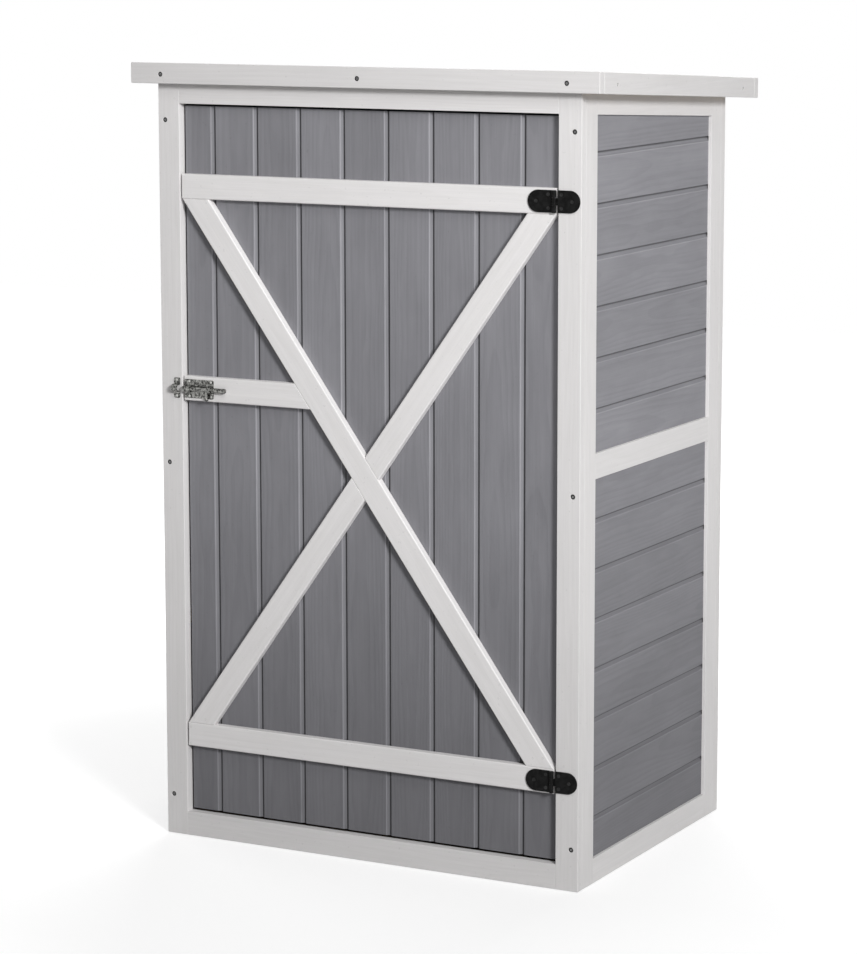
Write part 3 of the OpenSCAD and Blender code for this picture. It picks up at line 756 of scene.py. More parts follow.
@dataclass(frozen=True)
class FeltFinish(Finish):
    """Bitumen felt strewn with mineral grit."""

    colour: Colour = (0.05, 0.052, 0.054)
    grit: Colour = (0.20, 0.20, 0.20)

    def wire(self, wires: Wiring) -> Inputs:
        """Wires the grit and its clouds.

        Args:
            wires: Wiring of the material's tree.

        Returns:
            Inputs of the Principled shader.
        """
        place = wires.place()
        grains = wires.add("TexVoronoi", {"Vector": place, "Scale": 620.0}).outputs
        pick = wires.part(grains["Color"], 0)
        clouds = wires.noise(place, 9.0, 4.0, 0.6)
        share = wires.times(wires.spread(pick, 0.35, 0.95), wires.spread(clouds, 0.2, 0.8, 0.55))
        colour = wires.mix(share, self.colour, self.grit)
        height = wires.maths("SUBTRACT", 1.0, grains["Distance"])
        normal = wires.bump(0.6, 0.0006, height)
        return {"Base Color": colour, "Normal": normal, "Roughness": 0.92}


# Both painted finishes darken towards the ground as painted shade.
WHITE = WoodFinish(
    "brushed_white_paint", "white_paint",
    (0.780, 0.764, 0.762), (0.70, 0.685, 0.67), (0.60, 0.575, 0.545),
    rings=0.16, ring_width=0.0034, knots=0.30, fibre=0.08, patches=0.12, streaks=0.12,
    specks=0.10, rough=0.52, relief=0.12, ground_shade=0.13,
)
GREY = WoodFinish(
    "brushed_grey_stain", "grey_stain",
    (0.251, 0.249, 0.268), (0.200, 0.198, 0.216), (0.135, 0.135, 0.145),
    rings=0.30, ring_width=0.0036, knots=0.75, fibre=0.14, patches=0.45, streaks=0.22,
    specks=0.08, rough=0.66, relief=0.22, ground_shade=0.38,
)
PINE = WoodFinish(
    "bare_pine", "bare_wood",
    (0.66, 0.49, 0.29), (0.47, 0.29, 0.13), (0.20, 0.09, 0.035),
    rings=0.55, ring_width=0.0042, knots=1.0, fibre=0.12, patches=0.16, streaks=0.05,
    specks=0.03, rough=0.72, relief=0.3,
)
BLACK = MetalFinish(
    "black_coat", "black_metal", (0.005,) * 3, (0.016,) * 3,
    wear=0.5, metallic=0.0, rough=0.42, relief=0.35, gloss=0.06,
)
BLACK_SCREW = MetalFinish(
    "black_screw", "black_metal", (0.012,) * 3, (0.05,) * 3,
    wear=0.6, metallic=0.0, rough=0.38, gloss=0.22,
)
STEEL_SCREW = MetalFinish(
    "dark_screw", "black_metal", (0.20,) * 3, (0.38,) * 3,
    wear=0.5, metallic=0.7, rough=0.42, gloss=0.3, takes_painted_shade=True,
)
ZINC = MetalFinish(
    "zinc_plate", "zinc", (0.030, 0.030, 0.029), (0.42, 0.42, 0.40),
    wear=0.8, metallic=1.0, rough=0.28, clouds=0.7, fine=2.2,
)
BRIGHT_ZINC = MetalFinish(
    "bright_zinc", "zinc", (0.55, 0.55, 0.53), (0.85, 0.85, 0.82),
    wear=0.6, metallic=1.0, rough=0.26, clouds=0.7, takes_painted_shade=True,
)
FELT = FeltFinish("mineral_felt", "roof_felt")


# Timber


@dataclass
class RoofPlane:
    """Top of the roof, which falls evenly to the back. Sizes in metres."""

    top: float = 1.150
    fall: float = 0.030
    half_width: float = 0.375
    half_depth: float = 0.280

    def height(self, y: float, drop: float = 0.0) -> float:
        """Height of the roof plane, or of a layer below it, at a depth."""
        return self.top - self.fall * (y + self.half_depth) / (2 * self.half_depth) - drop

    def normal(self) -> Vector:
        """Direction square to the roof, upwards."""
        return Vector((0, self.fall, 2 * self.half_depth)).normalized()


ROOF = RoofPlane()


@dataclass
class Timber:
    """One length of planed wood.

    Its mesh carries two attributes: timber, which is the place along, across and through it,
    and tone, which is how light this piece came out.
    """

    name: str
    low: Point
    high: Point
    along: Vector
    across: Vector
    seed: int = 1
    tone: float = 1.0
    round_front: float = 0.0
    arris: float = 0.0005
    lean: Lean = Lean.LEVEL

    def build(self, *tools: Piece) -> Piece:
        """Planes the timber, rounds its arrises and cuts its rebates and holes.

        Args:
            tools: Shapes that are cut out of it.

        Returns:
            The new object, marked as timber.
        """
        obj = block(self.name, self.low, self.high)
        self.slope(obj)
        self.ease(obj)
        cut_out(obj, *tools)
        mark_timber(obj, self.along, self.across, self.seed, self.tone)
        return obj

    def slope(self, obj: Piece) -> None:
        """Leans the top, or the whole piece, to the roof from its front edge on.

        Args:
            obj: The planed block.
        """
        if self.lean is Lean.LEVEL:
            return
        back, top = self.high[1], self.high[2]
        fall = ROOF.height(back) - ROOF.height(self.low[1])
        lowest = -math.inf if self.lean is Lean.WHOLE else top - TINY
        shift(obj, lambda v: abs(v.co.y - back) < TINY and v.co.z > lowest, (0, 0, fall))

    def ease(self, obj: Piece) -> None:
        """Rounds the front arrises that run with the grain, then eases all the others.

        Args:
            obj: The planed block.
        """
        if self.round_front:
            bevel(obj, edges(self.along, 1, self.low[1]), self.round_front, 4)
        if self.arris:
            bevel(obj, sharp(), self.arris)


def mark_timber(obj: Piece, along: Vector, across: Vector, seed: int, tone: float) -> None:
    """Stores on each vertex its place in the timber, shifted so that no two timbers look alike.

    Args:
        obj: The timber.
        along: Direction of the grain.
        across: Direction of the width.
        seed: Number that picks the shift.
        tone: How light the piece came out, 1 for the finish as it is.
    """
    pick = random.Random(seed * 7919 + 13)
    tone *= 1 + pick.uniform(-0.018, 0.018)
    corners = [v.co for v in obj.data.vertices]
    axes = (along, across, along.cross(across))
    middle = [(min(c @ a for c in corners) + max(c @ a for c in corners)) / 2 for a in axes]
    away = [pick.uniform(3, 60), pick.uniform(-0.02, 0.02)]
    away.append(pick.choice((-1, 1)) * pick.uniform(0.02, 0.07))
    places = [c @ a - m + far for c in corners for a, m, far in zip(axes, middle, away)]
    attributes = obj.data.attributes
    attributes.new("timber", "FLOAT_VECTOR", "POINT").data.foreach_set("vector", places)
    shade_corners(obj, lambda corner: tone)


def shade_corners(obj: Piece, shade: Callable[[Vector], float]) -> None:
    """Multiplies the tone of each corner of a piece, which is 1 until it is first set.

    Args:
        obj: The piece.
        shade: Gives the factor at a corner's place.
    """
    attributes = obj.data.attributes
    tones = [1.0] * len(obj.data.vertices)
    if "tone" in attributes:
        attributes["tone"].data.foreach_get("value", tones)
    else:
        attributes.new("tone", "FLOAT", "POINT")
    tones = [t * shade(v.co) for t, v in zip(tones, obj.data.vertices)]
    attributes["tone"].data.foreach_set("value", tones)


@dataclass
class Shiplap:
    """Shiplap boarding. A board has a lip in front, a tongue behind and a cove at its high edge."""

    pitch: float = 0.0715
    thick: float = 0.009
    tongue: float = 0.0042
    lap: float = 0.008
    cove: float = 0.0065
    cove_depth: float = 0.0030
    gap: float = 0.0006
    hollow: float = 0.086
    low_arris: float = 0.0009
    # The fields below set the tone of the board: a painted highlight on the arris, which is partly
    # stain rubbed thin, painted shade in the cove, a painted shadow in the joint, and painted shade
    # under the lip and on the faces behind it.
    worn: float = 0.0010
    fade: float = 0.0005
    rubbed_and_highlight: float = 1.65
    cove_shade: float = 0.95
    seam: float = 0.0025
    joint_shadow: float = 0.25
    behind: float = 0.4
    under: float = 0.45

    def template(self, length: float) -> Piece:
        """Models one board along X, its width up Z from the joint and its face on Y = 0.

        Args:
            length: Length of the board.

        Returns:
            The new board.
        """
        back = self.thick - self.tongue
        lip, half = back - self.gap / 2, length / 2
        board = block("board", (-half, 0, self.lap + self.gap), (half, self.thick, self.pitch))
        for depth in (lip, back):
            saw(board, (0, depth, 0), Y, through=False)
        pull(
            board,
            lambda face: face.normal.z < -0.9 and face.calc_center_median().y < lip,
            (0, 0, -self.lap),
        )
        pull(
            board,
            lambda face: face.normal.z > 0.9 and face.calc_center_median().y > back,
            (0, 0, self.lap),
        )
        bevel(board, self.face_edge(self.pitch), self.cove_depth, 5, self.hollow)
        self.widen_cove(board)
        bevel(board, self.face_edge(self.gap), self.low_arris)
        arris = self.pitch - self.cove
        heights = [self.gap + 2 * self.worn, arris - 2 * self.worn, arris - self.worn]
        for height in [*heights, self.pitch - self.seam - self.fade, self.pitch - self.seam]:
            saw(board, (0, 0, height), Z, through=False)
        # Paints the highlight on the arris and the shade in the joint into the tone.
        shade_corners(board, self.wear)
        return board

    def wear(self, corner: Vector) -> float:
        """Painted highlight on the arris, which is partly stain rubbed thin, and painted shade in
        the cove, the joint, under the lip and behind it.

        Args:
            corner: Place of a corner of the board.

        Returns:
            A factor of the tone.
        """
        arris = self.pitch - self.cove
        if corner.y > self.thick - self.tongue - self.gap:
            return self.behind
        if corner.z < self.gap + 0.0010:
            return 1.0 if corner.y < 0.0004 else self.under
        for start, tone in (
            (self.pitch - self.seam, self.joint_shadow),
            (arris + 2e-5, self.cove_shade),
            (arris - self.worn, self.rubbed_and_highlight),
        ):
            if corner.z > start - 1e-5:
                return tone
        return 1.0

    def widen_cove(self, board: Piece) -> None:
        """Draws the cove out along the face, so that it is wider than it is deep.

        Args:
            board: The board.
        """
        depth, wide = self.cove_depth + TINY, self.cove / self.cove_depth
        with edit_mode(
            board, "VERT", lambda v: v.co.z > self.pitch - depth and v.co.y < depth
        ):
            bpy.ops.transform.resize(value=(1, 1, wide), center_override=(0, 0, self.pitch))

    @staticmethod
    def face_edge(height: float) -> Test:
        """Test for the long edge of the face at a height."""
        return lambda edge: edges(X, 1, 0)(edge) and lies(edge, 2, height)

    def rows(
        self,
        name: str,
        count: int,
        length: float,
        start: float,
        turn: Matrix,
        ends: Iterable[tuple[Point, Point]],
        tones: Sequence[float],
        seed: int,
    ) -> Piece:
        """Lays boards side by side and saws the whole row to size.

        Args:
            name: Name of the joined piece.
            count: Number of boards.
            length: Length of each board.
            start: Place of the first joint across the boards.
            turn: Turns the boards from X and Z to where they belong.
            ends: Cuts as a point and the direction of the waste.
            tones: How light each board came out.
            seed: Number that picks the grain of the boards.

        Returns:
            The joined boards.
        """
        template = self.template(length)
        along, across = turn.to_3x3() @ X, turn.to_3x3() @ Z
        boards = []
        for row in range(count):
            place = turn @ Matrix.Translation((0, 0, start + row * self.pitch))
            board = copy_of(template, f"{name}_{row}", place)
            for point, waste in ends:
                over = [(v.co - Vector(point)).dot(Vector(waste)) for v in board.data.vertices]
                if any(distance > TINY for distance in over):
                    saw(board, point, waste)
            if board.data.polygons:
                mark_timber(board, along, across, seed + row, tones[row])
                boards.append(board)
            else:
                bpy.data.objects.remove(board)
        bpy.data.objects.remove(template)
        return join(name, boards)


# Screws in the woodwork


def inset_front(obj: Piece, *widths: float, sink: float = 0.0) -> None:
    """Insets the front face of a head, ring by ring, and sinks what is left.

    Args:
        obj: The head.
        widths: Width of each ring.
        sink: How far the inner face goes back.
    """
    with edit_mode(obj, "FACE", lambda face: face.normal.y < -0.99):
        for width in widths:
            bpy.ops.mesh.inset(thickness=width)
        if sink:
            bpy.ops.transform.translate(value=(0, sink, 0))


@dataclass
class Screw:
    """Countersunk screw head with a cross recess. Its face looks along -Y at the origin."""

    radius: float = 0.0036
    depth: float = 0.0016
    slot: float = 0.0007
    reach: float = 0.0016
    recess: float = 0.0011
    ring: float = 0.38
    # Tones of painted shade: the countersink's shadow on the rim and shade in the cross recess.
    rim_shade: float = 0.05
    recess_shade: float = 0.25

    def template(self) -> Piece:
        """Models the head once, with a ring in its face that carries painted shade.

        Returns:
            The head, to be copied.
        """
        head = rod("screw", (0, 0, 0), (0, self.depth, 0), self.radius, 28, 0.55)
        bevel(head, lambda edge: all(v.co.y < TINY for v in edge.verts), self.radius * 0.10)
        inset_front(head, self.radius * self.ring, self.radius * 0.04)
        half, reach = self.slot / 2, self.reach
        flat = block("cut_flat", (-reach, -0.001, -half), (reach, self.recess, half))
        tall = block("cut_tall", (-half, -0.001, -reach), (half, self.recess, reach))
        cut_out(head, flat, tall)
        # Paints the shade of the countersink and the recess into the tone.
        shade_corners(head, self.rim_and_recess_shade)
        smooth(head, 35)
        return head

    def sink(
        self, place: Matrix, out: float, deep: float, room: float, edge: float, taper: float
    ) -> Piece:
        """Cone that countersinks a plate for the head.

        Args:
            place: Where the head's face goes.
            out: How far the cone starts before the face.
            deep: How far it goes in.
            room: Room around the head.
            edge: How much wider the cone starts.
            taper: Radius at its end, as a factor of the head's with its room.

        Returns:
            The cone, to be cut out.
        """
        at, wide = place.translation, self.radius + room
        taper *= wide / (wide + edge)
        return rod("sink", at - Y * out, at + Y * deep, wide + edge, taper=taper)

    def rim_and_recess_shade(self, corner: Vector) -> float:
        """Painted shade at the rim and in the cross recess.

        Args:
            corner: Place of a corner of the head.

        Returns:
            A factor of the tone.
        """
        if math.hypot(corner.x, corner.z) / self.radius > 0.88 - self.ring:
            return self.rim_shade
        return self.recess_shade if corner.y > self.recess / 2 else 1.0


def screw_row(
    name: str, body: str, finish: Finish, screw: Screw, places: Iterable[Matrix]
) -> Piece:
    """Drives the same screw in at several places, each turned its own way.

    Args:
        name: Name of the joined piece.
        body: Body that the screws ride on.
        finish: Their finish.
        screw: The screw to copy.
        places: Where each head's face goes.

    Returns:
        The joined screws.
    """
    pick = random.Random(name)
    turned = [place @ Matrix.Rotation(pick.uniform(0, math.pi), 4, "Y") for place in places]
    return dress(strew(screw.template(), name, turned), body, finish, angle=0)


@dataclass
class FrameScrews:
    """Countersunk dark screws through the posts, the back stiles and the fascias."""

    body: str = "cabinet"
    screw: Screw = field(default_factory=Screw)
    small: Screw = field(default_factory=lambda: Screw(0.0024, 0.001, 0.0005, 0.0010))
    rim: float = 0.0005
    sunk: float = 0.0009
    before: float = 0.001
    drop: float = 0.0166
    painted_tone: float = 0.97
    fascia_x: Sequence[float] = (-0.325, 0.0, 0.325)
    fascia_y: Sequence[float] = (-0.222, 0.222)

    def frame_places(self) -> list[Matrix]:
        """Where the screws of the posts and the back stiles go."""
        low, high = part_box("frame_screws")
        reach, foot = high.x - self.screw.radius, low.z + self.screw.radius
        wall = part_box("front_header")[1].z - ROOF.height(low.y)
        return [
            stand((x, y, z), turn)
            for y, turn in ((low.y, 0.0), (high.y, math.pi))
            for x in (-reach, reach)
            for z in (foot, (ROOF.height(y) + wall) / 2, ROOF.height(y) + wall - foot)
        ]

    def fascia_places(self) -> list[Matrix]:
        """Where the screws of the front and rear fascia go."""
        return [
            stand((x, y, ROOF.height(y, self.drop)), turn)
            for x in self.fascia_x
            for y, turn in ((-ROOF.half_depth, 0.0), (ROOF.half_depth, math.pi))
        ]

    def side_places(self) -> list[Matrix]:
        """Where the screws of the side fascias go."""
        return [
            stand((side * ROOF.half_width, y, ROOF.height(y, self.drop)), side * math.pi / 2)
            for side in (-1, 1)
            for y in self.fascia_y
        ]

    def holes(self, low: Vector, high: Vector) -> list[Piece]:
        """Countersinks for the screws in one timber.

        Args:
            low: Lowest corner of the timber.
            high: Highest corner of the timber.

        Returns:
            The cones to cut out of it.
        """
        cones = []
        dark = self.frame_places() + self.fascia_places()
        for screw, places in ((self.screw, dark), (self.small, self.side_places())):
            for place in places:
                at, into = place.translation, place.to_3x3() @ Y
                if all(low[i] - 1e-4 <= at[i] <= high[i] + 1e-4 for i in range(3)):
                    ends = at - into * self.before, at + into * (screw.depth + self.sunk)
                    cones.append(rod("cone", *ends, screw.radius + self.rim, 32, 0.8))
        return cones

    def build(self) -> None:
        """Drives the screws in, just under the face of the wood."""
        for name, node, screw, finish, places in (
            ("screws_frame", "frame_screws", self.screw, STEEL_SCREW, self.frame_places()),
            ("screws_fascia", "fascia_screws", self.screw, STEEL_SCREW, self.fascia_places()),
            ("screws_side_fascia", "fascia_screws", self.small, WHITE, self.side_places()),
        ):
            sunk = [place @ Matrix.Translation((0, self.sunk, 0)) for place in places]
            made = screw_row(name, self.body, finish, screw, sunk)
            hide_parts(node)
            if finish is WHITE:
                mark_timber(made, Z, Y, 700, self.painted_tone)


SCREWS = FrameScrews()


@dataclass
class Brads:
    """Punched heads of the brads in the front, painted over. Places are X and Z in metres."""

    radius: float = 0.0013
    tone: float = 0.55
    proud: float = 0.00012
    depth: float = 0.0008
    rim: float = 0.35
    dish: float = 0.0003
    door: Sequence[tuple[float, float]] = (
        (-0.2925, 0.1815), (-0.2715, 0.1805), (-0.2975, 0.1665), (-0.2975, 0.1420),
        (0.2690, 0.1855), (0.2845, 0.1875), (0.2150, 0.2660), (-0.2920, 0.9440), (0.2900, 0.9430),
    )
    frame: Sequence[tuple[float, float]] = ((0.3175, 0.1795), (0.3175, 0.1310), (-0.3120, 1.0980))
    corner: Sequence[tuple[float, float]] = (
        (-0.2545, 1.1085), (-0.2545, 0.0100), (0.2300, 1.0905), (0.2300, 0.0300),
    )

    def build(self) -> None:
        """Drives the brads into the door, the posts and the corners."""
        front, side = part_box("front_post_right")[0].y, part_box("right_front_stile")[1].x
        door = [stand((x, front, z)) for x, z in self.door]
        frame = [stand((x, front, z)) for x, z in self.frame]
        frame += [stand((side, y, z), math.pi / 2) for y, z in self.corner]
        for name, body, places in (("brads_door", "door", door), ("brads_frame", "cabinet", frame)):
            made = strew(self.head(), name, places)
            mark_timber(made, Z, X, 720, self.tone)
            dress(made, body, WHITE, angle=0)

    def head(self) -> Piece:
        """Dished head, a hair proud of the wood."""
        head = rod("brad", (0, -self.proud, 0), (0, self.depth, 0), self.radius, 20, 0.8)
        inset_front(head, self.radius * self.rim, sink=self.dish)
        smooth(head, 35)
        return head


# Frame and panels


@dataclass
class Framed:
    """What the front frame and the panels share. Sizes in metres."""

    body: str = "cabinet"
    rail: float = 0.036
    recess: float = 0.005
    rebate: float = 0.010
    low_rebate: float = 0.013
    round_front: float = 0.0
    rows: int = 8
    # The panels' boards get a weaker painted highlight on the arris and a lighter painted shadow in
    # the joint.
    boards: Shiplap = field(default_factory=lambda: Shiplap(rubbed_and_highlight=1.25, seam=0.0018, joint_shadow=0.42))

    def timbers(self, start: str, wide: Vector, seed: int, parts: dict[str, Lean]) -> None:
        """Builds the timbers of a frame: two uprights, then the rails.

        Args:
            start: How the names of their nodes begin.
            wide: Direction of the rails.
            seed: Number that picks the grain of the first one.
            parts: Rest of each node's name, with its lean.
        """
        for number, (part, lean) in enumerate(parts.items()):
            node = f"{start}_{part}"
            low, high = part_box(node)
            if lean is Lean.WHOLE:
                low.z = high.z - self.rail
            grain = (Z, wide) if number < 2 else (wide, Z)
            timber = Timber(
                f"timber_{node}", low, high, *grain, seed + number, 1.0, self.round_front, lean=lean
            )
            made = timber.build(*self.rebates(), *SCREWS.holes(low, high))
            dress(made, self.body, WHITE, node)

    def rebates(self) -> list[Piece]:
        """Blocks that cut the rebates for the boards, none in a frame without boards."""
        return []

    def rebate_blocks(self, corner: Point, other: Point, top: float) -> list[Piece]:
        """Blocks that cut the rebates for the upper and the lower boards.

        Args:
            corner: X and Y of one corner.
            other: X and Y of the opposite corner.
            top: Top of the upper boards.

        Returns:
            The upper and the lower block.
        """
        low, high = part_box("right_mid_rail")
        spans = (high.z - self.rebate, top), (self.rail - self.low_rebate, low.z + self.rebate)
        return [block("tool", (*corner, z0), (*other, z1)) for z0, z1 in spans]

    def fill(
        self, start: str, place: Matrix, top: Vector, tones: Iterable[Sequence[float]], *seeds: int
    ) -> None:
        """Lays the boards between the rails, from the joint line up.

        Args:
            start: How the names of their nodes begin.
            place: Where the boards' face goes.
            top: Direction square to the top of the upper boards.
            tones: How light the boards came out, above and below the mid rail.
            seeds: Numbers that pick the grain of the upper and the lower boards.
        """
        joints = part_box("right_mid_rail")[1].z - self.rebate, self.rail - self.low_rebate
        for part, joint, shades, seed, slope in zip(
            ("upper", "lower"), joints, tones, seeds, (top, Z)
        ):
            node = f"{start}_{part}_boards"
            low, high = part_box(node)
            ends = [((0, 0, low.z), -Z), ((0, low.y, high.z), slope)]
            made = self.boards.rows(
                f"boards_{start}_{part}",
                self.rows,
                max((high - low).xy),
                joint,
                place,
                ends,
                shades,
                seed,
            )
            dress(made, self.body, GREY, node, angle=40)


@dataclass
class FrontFrame(Framed):
    """Front frame: two posts, the header and the sill, with rounded front arrises."""

    round_front: float = 0.0007

    def build(self) -> None:
        """Builds and dresses the four timbers."""
        top, level = Lean.TOP, Lean.LEVEL
        parts = {"post_left": top, "post_right": top, "header": top, "sill": level}
        self.timbers("front", X, 10, parts)


@dataclass
class SidePanel(Framed):
    """Side panel: two stiles, three rails, and level shiplap boards in their rebates."""

    side: Side = Side.RIGHT
    inner: float = 0.300
    outer: float = 0.340
    lower_tone: float = 0.96
    tones: Sequence[float] = (1.10, 1.05, 1.02, 1.08, 1.06, 1.10, 1.07, 1.09)

    @property
    def name(self) -> str:
        """Name of the side, as the nodes have it."""
        return self.side.name.lower()

    def build(self) -> None:
        """Builds the frame timbers, cuts their rebates and fills them with boards."""
        side, level = self.side.value, Lean.LEVEL
        stiles = {"front_stile": Lean.TOP, "rear_stile": Lean.TOP}
        rails = {"top_rail": Lean.WHOLE, "mid_rail": level, "bottom_rail": level}
        self.timbers(self.name, Y, 20 + 10 * side, stiles | rails)
        low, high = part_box(f"{self.name}_upper_boards")
        middle = (side * (self.outer - self.recess), (low.y + high.y) / 2, 0)
        lower = [self.lower_tone * tone for tone in self.tones[::-1]]
        place = stand(middle, side * math.pi / 2)
        seeds = 100 + 30 * side, 140 + 30 * side
        self.fill(self.name, place, ROOF.normal(), (self.tones, lower), *seeds)

    def rebates(self) -> list[Piece]:
        """Blocks that cut the rebates, the upper one with a top that follows the roof."""
        low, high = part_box(f"{self.name}_top_rail")
        inner, outer = (self.side.value * x for x in (self.inner, self.outer - self.recess))
        front, rear = low.y - self.rebate, high.y + self.rebate
        top = high.z - self.rail + self.rebate
        upper, lower = self.rebate_blocks((inner, front), (outer, rear), top)
        lift, fall = ROOF.height(front) - ROOF.height(low.y), ROOF.height(rear) - ROOF.height(front)
        shift(upper, lambda v: v.co.z > top - TINY, (0, 0, lift))
        shift(upper, lambda v: v.co.z > top - TINY and v.co.y > 0, (0, 0, fall))
        return [upper, lower]


@dataclass
class BackPanel(Framed):
    """Back panel: two stiles, three rails and level shiplap boards."""

    inner: float = 0.210
    tones: Sequence[float] = (0.97, 1.0, 1.02, 0.96, 1.01, 0.99, 1.0, 1.03)

    def build(self) -> None:
        """Builds the frame timbers, cuts their rebates and fills them with boards."""
        top, level = Lean.TOP, Lean.LEVEL
        stiles = {"stile_left": top, "stile_right": top}
        rails = {"top_rail": top, "mid_rail": level, "bottom_rail": level}
        self.timbers("back", X, 60, stiles | rails)
        place = stand((0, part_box("back_top_rail")[1].y - self.recess, 0), math.pi)
        self.fill("back", place, Z, (self.tones, self.tones), 300, 320)

    def rebates(self) -> list[Piece]:
        """Blocks that cut the rebates for the upper and the lower boards."""
        low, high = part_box("back_top_rail")
        corner = low.x - self.rebate, self.inner
        other = high.x + self.rebate, high.y - self.recess
        return self.rebate_blocks(corner, other, low.z + self.rebate)


def spaced(low: float, high: float, count: int) -> list[float]:
    """Places spread evenly from one end to the other."""
    return [low + i * (high - low) / (count - 1) for i in range(count)]


def strips(
    low: float, high: float, count: int, gap: float = 0.0, width: float = 0.0
) -> list[tuple[float, float]]:
    """Starts and ends of equal strips, with a gap between them or of a given width."""
    width = width or (high - low - (count - 1) * gap) / count
    return [(start, start + width) for start in spaced(low, high - width, count)]


@dataclass
class Interior:
    """Floor and shelves of bare softwood. The counts are those of the nodes' boards."""

    body: str = "cabinet"
    floor_boards: int = 7
    floor_gap: float = 0.001
    slats: int = 6
    slat_gap: float = 0.006
    bearer: float = 0.040
    cleat: float = 0.020
    arris: float = 0.0008

    def build(self) -> None:
        """Builds the floor, the bearers, the slats and the cleats."""
        self.lay("floor_boards", 1, 400, self.floor_boards, self.floor_gap)
        for shelf, seed in (("lower_shelf", 420), ("upper_shelf", 440)):
            self.lay(f"{shelf}_slats", 1, seed, self.slats, self.slat_gap)
            self.lay(f"{shelf}_cleats", 0, seed + 10, 2, width=self.cleat)
        self.lay("floor_bearers", 0, 460, 3, width=self.bearer)

    def lay(
        self, node: str, axis: int, seed: int, count: int, gap: float = 0.0, width: float = 0.0
    ) -> None:
        """Lays timbers side by side from end to end of a node's box, and dresses them.

        Args:
            node: The node that they stand for.
            axis: 0 to lay them from left to right, 1 from front to back.
            seed: Number that picks the grain of the first one.
            count: Number of timbers.
            gap: Gap between them, if they share the width.
            width: Width of each, if they are spread evenly.
        """
        low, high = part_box(node)
        grain = (X, Y) if axis else (Y, X)
        timbers = []
        for i, ends in enumerate(strips(low[axis], high[axis], count, gap, width)):
            low[axis], high[axis] = ends
            timber = Timber(f"{node}_{i}", low, high, *grain, seed + i, arris=self.arris)
            timbers.append(timber.build())
        dress(join(f"pine_{node}", timbers), self.body, PINE, node)


# Roof


